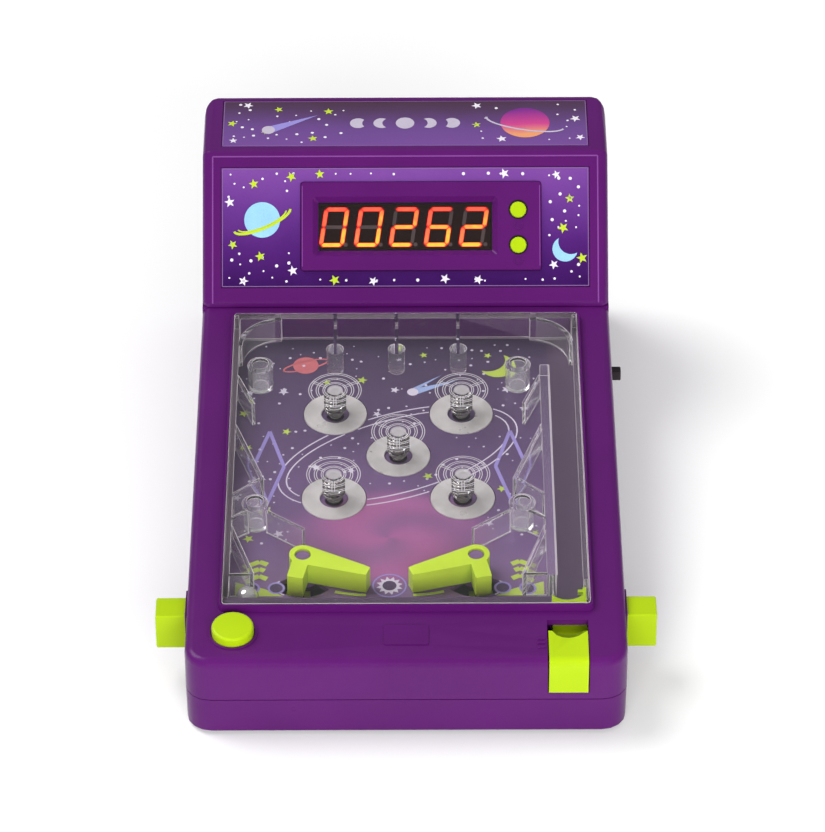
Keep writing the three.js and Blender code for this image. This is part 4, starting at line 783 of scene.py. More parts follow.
class PinballBuildControls(bpy.types.Operator):
    """Round and finish the side buttons, shooter, return button and head buttons"""
    bl_idname = "pinball.build_controls"
    bl_label = "Buttons and shooter"

    def execute(self, context):
        edge = settings("control").edge
        for node in ("side_button_left", "side_button_right", "launch_tip", "return_button"):
            rounded_piece(node, control_plastic(), edge)
        for node in ("power_button", "reset_button"):
            rounded_piece(node, control_plastic(), edge / 2)
        self.shade_dish(rounded_piece("shooter_lever", control_plastic(), edge))
        return {"FINISHED"}

    def shade_dish(self, piece):
        """Painted shade: a darker colour on the thumb dish of the lever, for the shade that the dish lies in."""
        # Painted shade: a darker plastic on the faces of the dish
        piece.data.materials.append(finish_once(
            "Deep control plastic", plastic_finish, srgb(110, 134, 3), 0.4, wear=0.15, shine=0.1))
        for face in piece.data.polygons:
            reach = (on_deck(face.center) - DISH_MIDDLE).length
            if abs(reach - DISH_RADIUS) < DISH_SLACK:
                face.material_index = 1


class PinballBuildFlippers(bpy.types.Operator):
    """Round and finish both flippers"""
    bl_idname = "pinball.build_flippers"
    bl_label = "Flippers"

    def execute(self, context):
        worn = finish_once("Flipper plastic", plastic_finish, srgb(184, 210, 50), 0.4,
                           wear=0.3, shine=0.2)
        for node in ("flipper_left", "flipper_right"):
            rounded_piece(node, worn, settings("control").edge)
        return {"FINISHED"}


class PinballBuildCover(bpy.types.Operator):
    """Finish the clear cover, with painted shade on some walls and painted highlights on its edges and on the
    moulded rings and caps over its bumper posts
    """
    bl_idname = "pinball.build_cover"
    bl_label = "Clear cover"
    ring_radii = (9.3 * MM, 8.5 * MM, 6.7 * MM, 5.9 * MM, 4.3 * MM, 3.65 * MM)
    ring_width = 0.25 * MM
    spoke_angles = (math.radians(30), math.radians(150), math.radians(270))
    spoke_half_gap = 0.45 * MM
    cap_radius = 2.1 * MM
    cap_width = 1.4 * MM
    flat_turn = math.radians(1)
    sharp_turn = math.radians(40)
    fin_spread = 36 * MM
    fin_start = 163.8 * MM
    facing = 0.9
    pane, ribs, posts, foot, fins, shaded = range(6)

    def execute(self, context):
        cover = settings("cover")
        tint = tuple(cover.tint)
        piece = replace_node("clear_cover", sharpen(own_form("clear_cover")),
                             finish_once("Clear pane", clear_finish, tint, 0.02))
        for material in (
                finish_once("Clear ribs", clear_finish, tint, 0.05, 0.97, (0.97, 0.97, 0.975, 1)),
                finish_once("Clear posts", clear_finish, tint, 0.1, 0.94, (0.92, 0.92, 0.93, 1)),
                finish_once("Frosted foot", plastic_finish, srgb(160, 144, 160), 0.5, wear=0.0),
                finish_once("Faint fins", clear_finish, tint, 0.05, shine=0.1, body=0.06),
                # Painted shade: a darker tint for the pane's front faces and for the rear wall behind the fins
                finish_once("Shaded rear wall", clear_finish, (0.62, 0.52, 0.66, 1), 0.03,
                            shine=0.2)):
            piece.data.materials.append(material)
        self.rear = max(on_deck(vertex.co).y for vertex in piece.data.vertices)
        for face in piece.data.polygons:
            face.material_index = self.kind(on_deck(face.center), DECK_TURN @ face.normal)
        self.bright_edges(cover.edge)
        self.rings()
        return {"FINISHED"}

    def by_fins(self, place):
        return abs(place.x - PRINT_MIDDLE) < self.fin_spread and place.y > self.fin_start

    def kind(self, centre, normal):
        """Which of the cover's materials a face takes."""
        if centre.z > RIM_HEIGHT - PANE_THICKNESS - HAIR:
            # The pane's front faces take the darker tint of painted shade
            front = normal.y < -self.facing and centre.y < LEDGE_REAR
            return self.shaded if front else self.pane
        outside = centre.x < TRAY_LEFT + COVER_WALL or centre.y > self.rear - COVER_WALL
        if normal.z < -self.facing and centre.z < FLOOR + COVER_WALL and outside:
            return self.foot
        if self.by_fins(centre):
            # The rear wall behind the fins takes the darker tint of painted shade
            return self.fins if centre.y < self.rear - COVER_WALL - HAIR else self.shaded
        if outside or min((spot - centre.xy).length for spot in BUMPERS) < PILLAR_RADIUS:
            return self.pane
        near = min(math.hypot(centre.x - x * MM, centre.y - y * MM) for x, y in PILLAR_SPOTS)
        return self.posts if near < PILLAR_RADIUS + HAIR else self.ribs

    def bright_edges(self, width):
        """Painted highlights: narrow pale strips across the corners, for the light that the corners of clear
        mouldings catch.
        """
        mesh = own_form("clear_cover")
        bmesh.ops.dissolve_limit(mesh, angle_limit=self.flat_turn, verts=mesh.verts,
                                 edges=mesh.edges, use_dissolve_boundaries=False)
        strips = bmesh.new()
        for edge in mesh.edges:
            place = on_deck((edge.verts[0].co + edge.verts[1].co) / 2)
            fin = self.by_fins(place) and place.y < self.rear - COVER_WALL / 2
            sharp = len(edge.link_faces) == 2 and edge.calc_face_angle() > self.sharp_turn
            if sharp and not fin:
                self.strip(strips, edge, width)
        mesh.free()
        add_piece("cover_edge_highlights", strips, "casing", finish_once(
            "Bright edges", plastic_finish, srgb(222, 214, 218), 0.3, wear=0.0, alpha=0.6))

    def strip(self, strips, edge, width):
        start, end = (vertex.co for vertex in edge.verts)
        sides = []
        for loop in edge.link_loops:
            normal = loop.face.normal
            heading = loop.link_loop_next.vert.co - loop.vert.co
            sides.append(normal.cross(heading).normalized() * width - normal * HAIR / 4)
        strips.faces.new([strips.verts.new(corner) for corner in (
            start + sides[0], end + sides[0], end + sides[1], start + sides[1])])

    def rings(self):
        """Painted highlights over each bumper post: paired pale circles and spokes along the edges of its moulded
        rings, and a pale ring and spot on the post's cap.
        """
        lines, caps = [], []
        for x, y in BUMPERS:
            for radius in self.ring_radii:
                lines += ring_quads(x, y, radius, self.ring_width)
            for angle in self.spoke_angles:
                for side in (-1, 1):
                    foot = polar(x, y, side * self.spoke_half_gap, angle + math.pi / 2)
                    ends = [polar(*foot, radius, angle)
                            for radius in (self.ring_radii[-1], self.ring_radii[0])]
                    lines += stroke(ends, self.ring_width)
            caps += ring_quads(x, y, self.cap_radius, self.cap_width)
            caps.append(oval(x, y, self.cap_radius - self.cap_width / 2))
        # Painted highlights: pale lines where the ring steps catch the light, and pale caps on the posts
        printed_sheet("bumper_ring_highlights", lines, DECK, RIM_HEIGHT + HAIR, finish_once(
            "Frosted rings", plastic_finish, srgb(232, 228, 232), 0.3, wear=0.0, alpha=0.72))
        printed_sheet("bumper_cap_highlights", caps, DECK, RIM_HEIGHT + 2 * HAIR, finish_once(
            "Bright caps", plastic_finish, srgb(226, 222, 224), 0.3, wear=0.0, alpha=0.45))


def clear_of_holes(x, y, margin=0.6 * MM):
    """Whether a place on the playfield lies clear of discs, slots, wells and walls."""
    holes = [(place, DISC_RADIUS + margin) for place in BUMPERS]
    holes += [(place, FAN_OUTER + margin) for place in PIVOTS]
    holes.append((on_deck(BALL_MIDDLE), BALL_RADIUS))
    if any(math.hypot(x - place.x, y - place.y) < reach for place, reach in holes):
        return False
    return PRINT_LEFT < x < FIELD_RIGHT and PRINT_FRONT < y < PRINT_REAR


class PinballBuildPlayfield(bpy.types.Operator):
    """Finish the tray and print the playfield on it"""
    bl_idname = "pinball.build_playfield"
    bl_label = "Playfield"
    galaxy = Vector((-6 * MM, 71 * MM))
    galaxy_wide = 40 * MM
    galaxy_tall = 28 * MM
    line = 0.5 * MM
    tip_arc = 0.55
    orbits = ((42 * MM, 19 * MM), (45 * MM, 22 * MM))
    orbit_turn = 0.42
    lozenge_wide = 5.4 * MM
    lozenge_tall = 19 * MM
    lozenge_reach = 42.5 * MM
    lozenge_drop = 6 * MM
    lozenge_line = 1.3 * MM
    chevron_wing = 4.6 * MM
    chevron_rise = 2.4 * MM
    chevron_pitch = 3.6 * MM
    chevron_line = 2.1 * MM
    chevron_foot = (44.5 * MM, 51.5 * MM)
    wedge = ((52.5 * MM, 41.4 * MM), (36 * MM, 41.4 * MM), (42.4 * MM, 45 * MM),
             (52.5 * MM, 49 * MM))
    wheel_y = 46.5 * MM
    eye_y = 45.4 * MM
    eyes = tuple(side * (47 - 8.5 * count) * MM for side in (-1, 1) for count in (0, 1))
    planet = (-36 * MM, 163.5 * MM)
    comet = (2.5 * MM, 148.5 * MM)

    def execute(self, context):
        rounded_piece("playfield_tray", finish_once(
            "Playfield print", playfield_finish, self.galaxy, self.galaxy_wide,
            self.galaxy_tall), 0.2 * MM)
        self.print_lines()
        self.print_motifs()
        self.print_stars()
        return {"FINISHED"}

    def lay(self, name, outlines, layer, ink_name):
        printed_sheet(f"playfield_{name}", outlines, DECK, FLOOR + layer * HAIR, ink(ink_name))

    def print_lines(self):
        """Orbits round the bumpers, side lozenges and the outlines of the flipper slots."""
        centre = BUMPERS[2]
        lines = []
        for wide, tall in self.orbits:
            points = oval(*centre, wide, tall, self.orbit_turn, 96)
            lines += stroke(points, self.line, True, clear_of_holes, DASH)
        outer = FAN_OUTER + self.line
        for side, pivot in zip((-1, 1), PIVOTS):
            tip = FAN_LOW if side < 0 else -math.pi - FAN_LOW
            lines += ring_quads(*pivot, outer, self.line, 16, tip, tip - side * self.tip_arc)
            ends = [polar(*pivot, reach, tip) for reach in ((FAN_INNER + FAN_OUTER) / 2, outer)]
            lines += stroke(ends, self.line, step=DASH)
        self.lay("white_lines", lines, 1, "White ink")
        lozenges = []
        for side in (-1, 1):
            corners = oval(PRINT_MIDDLE + side * self.lozenge_reach, centre.y - self.lozenge_drop,
                           self.lozenge_wide, self.lozenge_tall, steps=4)
            lozenges += stroke(corners, self.lozenge_line, True, clear_of_holes, DASH)
        for eye in self.eyes:
            lozenges += ring_quads(PRINT_MIDDLE + eye, self.eye_y, 2.6 * MM, 0.8 * MM, 32)
        lozenges += ring_quads(PRINT_MIDDLE, self.wheel_y, 5.6 * MM, 0.6 * MM, 48)
        self.lay("lavender_lines", lozenges, 3, "Lavender ink")

    def print_motifs(self):
        """Moon, comet, ringed planet, chevrons and the star between the flippers."""
        limes = [crescent(33 * MM, 163 * MM, 6.4 * MM, 2.4)]
        wing, drop = self.chevron_wing, -self.chevron_rise
        x, y = self.chevron_foot
        for side in (-1, 1):
            for count in range(3):
                chevron = turned([(-wing, drop), (0, 0), (wing, drop)], PRINT_MIDDLE + side * x,
                                 y + count * self.chevron_pitch, 0)
                limes += stroke(chevron, self.chevron_line, False, clear_of_holes, DASH)
            wedge = [(PRINT_MIDDLE + side * along, up) for along, up in self.wedge]
            limes.append(wedge[::side])
            sweep = [(PRINT_MIDDLE + side * (8 + 1.5 * count) * MM,
                      (41.9 + 0.035 * count ** 2) * MM) for count in range(8)]
            limes += stroke(sweep, 1.2 * MM)
        self.lay("lime_motifs", limes, 2, "Lime ink")
        ring = oval(*self.planet, 8.4 * MM, 2.2 * MM, 0.35, 48)
        self.lay("ringed_planet", [oval(*self.planet, 4.6 * MM)]
                 + stroke(ring, 0.7 * MM, True, step=DASH), 2, "Coral ink")
        tails = ([(-1.3, 1.3), (1.3, -1.3), (16, 6.5)], [(-1.3, 1.3), (0.6, 0.6), (10.5, 9.5)])
        self.lay("comet_tail", [turned([(x * MM, y * MM) for x, y in tail], *self.comet, 0)
                                for tail in tails], 1, "Pale blue ink")
        self.lay("white_motifs", [
            oval(*self.comet, 2 * MM),
            star(PRINT_MIDDLE, self.wheel_y, 4.6 * MM, 0.2, 12, 0.68)], 2, "White ink")
        spots = [oval(PRINT_MIDDLE, self.wheel_y, 2.4 * MM)]
        spots += [oval(PRINT_MIDDLE + eye, self.eye_y, 2.2 * MM) for eye in self.eyes]
        self.lay("dusk_spots", spots, 3, "Dusk ink")

    def print_stars(self):
        """Small dots and five-pointed stars scattered over the sky."""
        def in_sky(x, y):
            swirl = math.hypot((x - self.galaxy.x) / self.galaxy_wide,
                               (y - self.galaxy.y) / self.galaxy_tall)
            return clear_of_holes(x, y, 2 * MM) and y > self.galaxy.y - 4 * MM and swirl > 0.8

        given = settings("print")
        limes, whites = scattered_sky(
            random.Random(given.seed), (given.stars, (1.5, 2.1), 11 * MM),
            (given.dots, (0.3, 0.4, 0.55), 3.2 * MM, 10), (TRAY_LEFT, 47 * MM),
            (60 * MM, 175 * MM), in_sky)
        self.lay("lime_stars", limes, 3, "Lime ink")
        self.lay("white_stars", whites, 3, "White ink")


class PinballBuildBumpers(bpy.types.Operator):
    """Contact discs and wound springs of the five bumpers"""
    bl_idname = "pinball.build_bumpers"
    bl_label = "Bumpers"
    wire_radius = 0.325 * MM
    wire_sides = 10
    turns = 7
    steps_per_turn = 28
    tip_radius = 1.8 * MM
    top_radius = 4 * MM
    taper_share = 0.4
    disc_lift = 4 * HAIR
    disc_round = 0.15 * MM
    disc_steps = 96

    def execute(self, context):
        metal = finish_once("Disc metal", metal_finish, srgb(214, 209, 208), 0.3, 0.25, 0.4)
        for count, place in enumerate(BUMPERS, start=1):
            node = f"contact_disc_{count}"
            low, high = self.reach(node)
            base = DECK @ Matrix.Translation((place.x, place.y, 0))
            replace_node(node, self.disc(base, low, high + self.disc_lift), metal, "turned")
            node = f"bumper_spring_{count}"
            low, high = self.reach(node)
            base = DECK @ Matrix.Translation((place.x, place.y, low))
            replace_node(node, self.coil(base, high - low), bright_steel(), "wire")
        return {"FINISHED"}

    def reach(self, node):
        """Lowest and highest level of a node, square to the deck."""
        levels = [on_deck(vertex.co).z for vertex in frame["nodes"][node].data.vertices]
        return min(levels), max(levels)

    def coil(self, base, length):
        """A round wire wound up the z of its base, widening to its full radius."""
        mesh = bmesh.new()
        half = self.wire_radius
        steps = self.turns * self.steps_per_turn
        rings = []
        for step in range(steps + 1):
            share = step / steps
            angle = 2 * math.pi * self.turns * share
            widened = min(1, share / self.taper_share)
            radius = self.tip_radius + (self.top_radius - self.tip_radius) * widened - half
            out = Vector((math.cos(angle), math.sin(angle), 0))
            centre = out * radius + Vector((0, 0, half + (length - 2 * half) * share))
            ring = []
            for side in range(self.wire_sides):
                across, up = polar(0, 0, half, 2 * math.pi * side / self.wire_sides)
                ring.append(mesh.verts.new(base @ (centre + out * across + Vector((0, 0, up)))))
            rings.append(ring)
        for lower, upper in zip(rings, rings[1:]):
            join_rows(mesh, upper, lower)
        for face in mesh.faces:
            face.smooth = True
        mesh.faces.new(rings[0])
        mesh.faces.new(rings[-1][::-1])
        bmesh.ops.recalc_face_normals(mesh, faces=mesh.faces)
        return mesh

    def disc(self, base, low, top):
        """A turned ring with rounded inner and outer edges."""
        lip = self.disc_round
        profile = [(DISC_HOLE, low), (DISC_RADIUS, low), (DISC_RADIUS, top - lip),
                   (DISC_RADIUS - lip, top), (DISC_HOLE + lip, top), (DISC_HOLE, top - lip)]
        mesh = bmesh.new()
        rows = [[mesh.verts.new(base @ Vector(
            (*polar(0, 0, radius, 2 * math.pi * step / self.disc_steps), level)))
            for radius, level in profile] for step in range(self.disc_steps)]
        for here, there in zip(rows, rows[1:] + rows[:1]):
            join_rows(mesh, here, there)
        bmesh.ops.recalc_face_normals(mesh, faces=mesh.faces)
        for face in mesh.faces:
            face.smooth = True
        return sharpen(mesh)


class PinballBuildBall(bpy.types.Operator):
    """The polished steel ball"""
    bl_idname = "pinball.build_ball"
    bl_label = "Ball"
    steps = 48

    def execute(self, context):
        mesh = bmesh.new()
        bmesh.ops.create_uvsphere(mesh, u_segments=self.steps, v_segments=self.steps // 2,
                                  radius=BALL_RADIUS)
        bmesh.ops.translate(mesh, verts=mesh.verts, vec=BALL_MIDDLE)
        for face in mesh.faces:
            face.smooth = True
        replace_node("ball", mesh, finish_once(
            "Polished ball", metal_finish, srgb(232, 230, 228), 0.1, metallic=0.75), "polished")
        return {"FINISHED"}


# Bars of a seven-bar digit, from top round to the middle, and which of them each digit lights
BARS = ("top", "upper_right", "lower_right", "bottom", "lower_left", "upper_left", "centre")
LIT_BARS = {
    "0": BARS[:6],
    "2": ("top", "upper_right", "centre", "lower_left", "bottom"),
    "6": ("top", "upper_left", "centre", "lower_left", "lower_right", "bottom"),
}
SHOWN_DIGITS = "00262"


def bar_outline(bar, wide, tall, width, gap):
    """Six-cornered outline of one bar of an upright digit centred on zero."""
    half = width / 2
    x, y = wide / 2 - half, tall / 2 - half
    corners = ((-x, y), (x, y), (x, 0), (x, -y), (-x, -y), (-x, 0))
    at = BARS.index(bar)
    start, end = ((-x, 0), (x, 0)) if bar == "centre" else (corners[at], corners[(at + 1) % 6])
    run = math.dist(start, end)
    turn = math.atan2(end[1] - start[1], end[0] - start[0])
    return turned([(gap, 0), (gap + half, -half), (run - gap - half, -half), (run - gap, 0),
                   (run - gap - half, half), (gap + half, half)], *start, turn)


def grown(outline, margin):
    """An outline pushed outwards from its own middle by a margin."""
    cx, cy = (sum(values) / len(outline) for values in zip(*outline))
    return [polar(x, y, margin, math.atan2(y - cy, x - cx)) for x, y in outline]


class PinballBuildDisplay(bpy.types.Operator):
    """Lens, glowing digits and the symbols by the head buttons"""
    bl_idname = "pinball.build_display"
    bl_label = "Display"
    digit_wide = 8.9 * MM
    digit_shift = -0.5 * MM
    dot_radius = 0.75 * MM
    bar_gap = 0.3 * MM
    warm_bars = ("upper_right", "lower_right", "bottom", "centre")
    glow_margin = 0.45 * MM
    faint_margin = 0.9 * MM
    symbol_radius = 1.5 * MM
    symbol_width = 0.45 * MM

    def execute(self, context):
        rounded_piece("display_lens", finish_once(
            "Display lens", clear_finish, (0.93, 0.84, 0.84, 1), 0.02, shine=0.03), 0.1 * MM)
        rounded_piece("digit_block", finish_once(
            "Digit block", plastic_finish, srgb(24, 0, 0), 0.6, wear=0.0, shine=0.0), 0.2 * MM)
        self.digits()
        self.symbols()
        return {"FINISHED"}

    def digits(self):
        given = settings("display")
        block = frame["nodes"]["digit_block"].data.vertices
        level = max(on_face(vertex.co).z for vertex in block) + HAIR
        centre_y = on_face(middle("digit_block")).y
        faint, glow, unlit, lit, warm = [], [], [], [], []
        for count, digit in enumerate(SHOWN_DIGITS):
            x = self.digit_shift + (count - (len(SHOWN_DIGITS) - 1) / 2) * given.digit_pitch
            for bar in BARS:
                upright = bar_outline(bar, self.digit_wide, given.digit_height, given.segment,
                                      self.bar_gap)
                outline = [(a + b * math.tan(given.slant) + x, b + centre_y) for a, b in upright]
                if bar in LIT_BARS[digit]:
                    (warm if bar in self.warm_bars else lit).append(outline)
                    glow.append(grown(outline, self.glow_margin))
                    faint.append(grown(outline, self.faint_margin))
                else:
                    unlit.append(outline)
            foot = -given.digit_height / 2 + self.dot_radius
            dot_x = x + self.digit_wide / 2 + self.dot_radius + foot * math.tan(given.slant)
            unlit.append(oval(dot_x, centre_y + foot, self.dot_radius, steps=16))
        reach = (centre_y - given.digit_height / 2, centre_y + given.digit_height / 2)
        pale = finish_once("Unlit bars", plastic_finish, srgb(78, 68, 70), 0.5, wear=0.0)
        for layer, (name, outlines, material) in enumerate((
                ("faint_glow", faint, finish_once("Faint glow", lit_finish, *reach, (
                    srgb(92, 8, 5), srgb(88, 6, 5)), 0.6)),
                ("glow", glow, finish_once("Glow round bars", lit_finish, *reach, (
                    srgb(236, 36, 16), srgb(226, 28, 16)), 0.8)),
                ("unlit_bars", unlit, pale),
                ("lit_bars", lit, finish_once("Lit bars", lit_finish, *reach, (
                    srgb(255, 112, 62), srgb(255, 84, 58)), 1.0)),
                ("warm_bars", warm, finish_once("Warm lit bars", lit_finish, *reach, (
                    srgb(255, 176, 52), srgb(255, 118, 56)), 1.0)))):
            printed_sheet(f"digit_{name}", outlines, FACE, level + layer * HAIR, material)

    def symbols(self):
        """Raised power and turning-arrow signs under the two buttons, and a dark ring of painted shade in the gap
        round each button.
        """
        power, reset = (on_face(middle(f"{name}_button")).xy for name in ("power", "reset"))
        # Painted shade: a dark ring where the gap round each key lies in shade
        seams = [quad for key in (power, reset)
                 for quad in ring_quads(*key, 3.3 * MM, 0.5 * MM, 40)]
        printed_sheet("button_gap_shade", seams, FACE, BEZEL_PROUD + HAIR, ink("Seam ink"))
        y = power.y - 5.6 * MM
        shapes = ring_quads(power.x, y, self.symbol_radius, self.symbol_width, 24,
                            math.radians(120), math.radians(420))
        shapes += stroke([(power.x, y + 0.2 * MM), (power.x, y + 2.1 * MM)], self.symbol_width)
        y = reset.y - 5.4 * MM
        shapes += ring_quads(reset.x, y, self.symbol_radius, self.symbol_width, 24,
                             math.radians(60), math.radians(360))
        shapes.append([(reset.x + 0.7 * MM, y), (reset.x + 2.3 * MM, y),
                       (reset.x + 1.5 * MM, y + 1.1 * MM)])
        raised_shapes("button_symbols", shapes, BEZEL_PROUD - HAIR, BEZEL_PROUD + 0.2 * MM,
                      case_plastic())


class PinballBuildLabels(bpy.types.Operator):
    """The printed labels of the head"""
    bl_idname = "pinball.build_labels"
    bl_label = "Head labels"
    margin = 2 * MM
    fine = 0.3 * MM
    ridge = 0.5 * MM
    frame_side = 70 * MM
    frame_foot = 2.5 * MM
    frame_brow = FACE_LENGTH - 1.9 * MM
    rim_inset = 0.4 * MM
    rim_short = 1.4 * MM
    side_gap = 2.5 * MM
    face_planet = Vector((-52 * MM, 33 * MM))
    face_planet_radius = 6.5 * MM
    face_moon = Vector((58 * MM, 22 * MM))
    top_planet_x = 44 * MM
    top_planet_radius = 9 * MM
    phase_pitch = 8.6 * MM

    def execute(self, context):
        self.label("face_label", "Face label print", FACE, LABEL_LOW, LABEL_HIGH, [
            (0.0, srgb(54, 14, 84)), (0.35, srgb(82, 33, 115)), (0.7, srgb(106, 56, 140)),
            (1.0, srgb(126, 74, 156))])
        self.label("top_label", "Top label print", TOP, TOP_LABEL_LOW, TOP_LABEL_HIGH, [
            (0.0, srgb(118, 78, 150)), (0.4, srgb(108, 74, 138)), (0.8, srgb(84, 60, 92)),
            (1.0, srgb(76, 54, 72))])
        self.ridges()
        self.face_print()
        self.top_print()
        return {"FINISHED"}

    def label(self, node, print_name, place, low, high, stops):
        """A label with its graded sky and a fine line round it."""
        sky = finish_once(print_name, graded_ink_finish, place, low, high, stops)
        rounded_piece(node, sky, 0.1 * MM)
        right, low, high = LABEL_WIDE / 2 - self.fine, low + self.fine, high - self.fine
        corners = [(-right, low), (right, low), (right, high), (-right, high)]
        printed_sheet(f"{node}_border", stroke(corners, self.fine, True, step=DASH), place, HAIR,
                      ink("Border ink"))

    def ridges(self):
        """Painted highlights: pale lines, raised a hair, that frame the head's face and the bezel where their
        edges catch the light.
        """
        # A paler plastic, painted to stand in for the highlights on these edges
        worn = finish_once("Worn housing edge", plastic_finish, srgb(128, 62, 146), 0.35, wear=0.2)
        side, foot, brow = self.frame_side, self.frame_foot, self.frame_brow
        lines = stroke([(-side, foot), (-side, brow), (side, brow), (side, foot)], self.ridge)
        raised_shapes("face_frame", lines, -HAIR, 3 * HAIR, worn)
        rims = []
        for x in (BEZEL_LEFT + self.rim_inset, BEZEL_RIGHT - self.rim_inset):
            rims += stroke([(x, BEZEL_LOW + self.rim_short), (x, BEZEL_HIGH - self.rim_short)],
                           self.ridge / 2)
        raised_shapes("bezel_rims", rims, BEZEL_PROUD - HAIR, BEZEL_PROUD + HAIR, worn)

    def face_print(self):
        planet, moon = self.face_planet, self.face_moon
        edge = 3 * MM

        def allowed(x, y):
            in_bezel = (BEZEL_LEFT - edge < x < BEZEL_RIGHT + edge
                        and BEZEL_LOW - edge < y < BEZEL_HIGH + edge)
            return not (in_bezel or math.dist((x, y), planet) < 2 * self.face_planet_radius
                        or math.dist((x, y), moon) < 6.5 * MM)

        self.scatter("face", FACE, LABEL_LOW, LABEL_HIGH, 20, 60, 1, allowed)
        printed_sheet("face_planet", [oval(*planet, self.face_planet_radius, steps=48)], FACE, 2 * HAIR,
                      ink("Planet ink"))
        ring = stroke(oval(*planet, 11 * MM, 3.2 * MM, 0.4, 64)[32:], 0.9 * MM, step=DASH)
        ring += stroke(oval(*planet, 9.4 * MM, 2.6 * MM, 0.4, 64)[32:], 0.5 * MM, step=DASH)
        printed_sheet("face_planet_ring", ring, FACE, 3 * HAIR, ink("Bright lime ink"))
        printed_sheet("face_moon", [crescent(*moon, 4.6 * MM, 0.9)], FACE, 2 * HAIR,
                      ink("Planet ink"))

    def top_print(self):
        mid_y = (TOP_LABEL_LOW + TOP_LABEL_HIGH) / 2
        planet = Vector((self.top_planet_x, mid_y))
        comet = (-50 * MM, mid_y - 4 * MM)

        def allowed(x, y):
            return math.dist((x, y), planet) > 13 * MM and abs(x) > 22 * MM

        self.scatter("top", TOP, TOP_LABEL_LOW, TOP_LABEL_HIGH, 12, 40, 2, allowed)
        radius = self.top_planet_radius
        sunset = finish_once(
            "Planet print", graded_ink_finish, TOP, planet.y - radius, planet.y + radius,
            [(0.1, srgb(236, 160, 110)), (0.45, srgb(206, 72, 140)), (0.9, srgb(126, 48, 140))])
        printed_sheet("top_planet", [oval(*planet, radius, steps=64)], TOP, 2 * HAIR, sunset)
        ring = stroke(oval(*planet, 14.5 * MM, 4.4 * MM, -0.25, 80)[40:], 0.8 * MM, step=DASH)
        silver = ink("Silver ink")
        printed_sheet("top_planet_ring", ring, TOP, 3 * HAIR, silver)
        phases = [oval(0, mid_y, 3.4 * MM, steps=40)]
        for side, turn in ((-1, 0), (1, math.pi)):
            for count, bite in ((1, 1.1), (2, 1.5)):
                phases.append(crescent(side * count * self.phase_pitch, mid_y, 3 * MM, turn, bite))
        printed_sheet("top_moon_phases", phases, TOP, 2 * HAIR, silver)
        tail = turned([(-1.6 * MM, 1.6 * MM), (1.6 * MM, -1.6 * MM), (18 * MM, 9 * MM)],
                      *comet, 0)
        printed_sheet("top_comet_tail", [tail], TOP, 2 * HAIR, ink("Comet ink"))
        printed_sheet("top_comet_head", [oval(*comet, 2.4 * MM)], TOP, 3 * HAIR, silver)

    def scatter(self, name, place, low, high, stars, dots, seed_step, allowed):
        """Stars and dots over a label, outside its motifs."""
        half = LABEL_WIDE / 2 - self.side_gap
        limes, whites = scattered_sky(
            random.Random(settings("print").seed + seed_step), (stars, (1.6, 2.1), 10 * MM),
            (dots, (0.35, 0.45, 0.6), 3.4 * MM, 12), (-half, half),
            (low + self.margin, high - self.margin), allowed)
        printed_sheet(f"{name}_label_lime_stars", limes, place, HAIR, ink("Bright lime ink"))
        printed_sheet(f"{name}_label_white_stars", whites, place, HAIR, ink("Bright white ink"))


class PinballBuildUnderside(bpy.types.Operator):
    """Battery door, feet, screws and the side switch"""
    bl_idname = "pinball.build_underside"
    bl_label = "Underside and switch"
    screw_edge = 0.12 * MM

    def execute(self, context):
        rounded_piece("battery_door", case_plastic(), 0.25 * MM)
        rubber = finish_once("Foot rubber", plastic_finish, srgb(38, 37, 40), 0.85, grain=500.0,
                             depth=0.05 * MM, wear=0.0)
        for count in range(1, 5):
            rounded_piece(f"foot_{count}", rubber, 0.5 * MM)
            rounded_piece(f"case_screw_{count}", bright_steel(), self.screw_edge)
        rounded_piece("door_screw", bright_steel(), self.screw_edge)
        rounded_piece("switch_knob", dark_plastic(), 0.35 * MM)
        return {"FINISHED"}


class PinballFinishInside(bpy.types.Operator):
    """Materials for the inner pieces that keep their plain forms"""
    bl_idname = "pinball.finish_inside"
    bl_label = "Inner pieces"

    def execute(self, context):
        finishes = {
            "board": finish_once("Circuit board", plastic_finish, srgb(38, 98, 52), 0.45),
            "cell": finish_once("Cell wrapper", metal_finish, srgb(150, 150, 156), 0.4),
            "steel": bright_steel(),
            "black": dark_plastic(),
        }
        for node, piece in frame["nodes"].items():
            if not piece.hide_render:
                for place in piece.material_slots:
                    place.material = finishes[slot_of(node)]
        return {"FINISHED"}


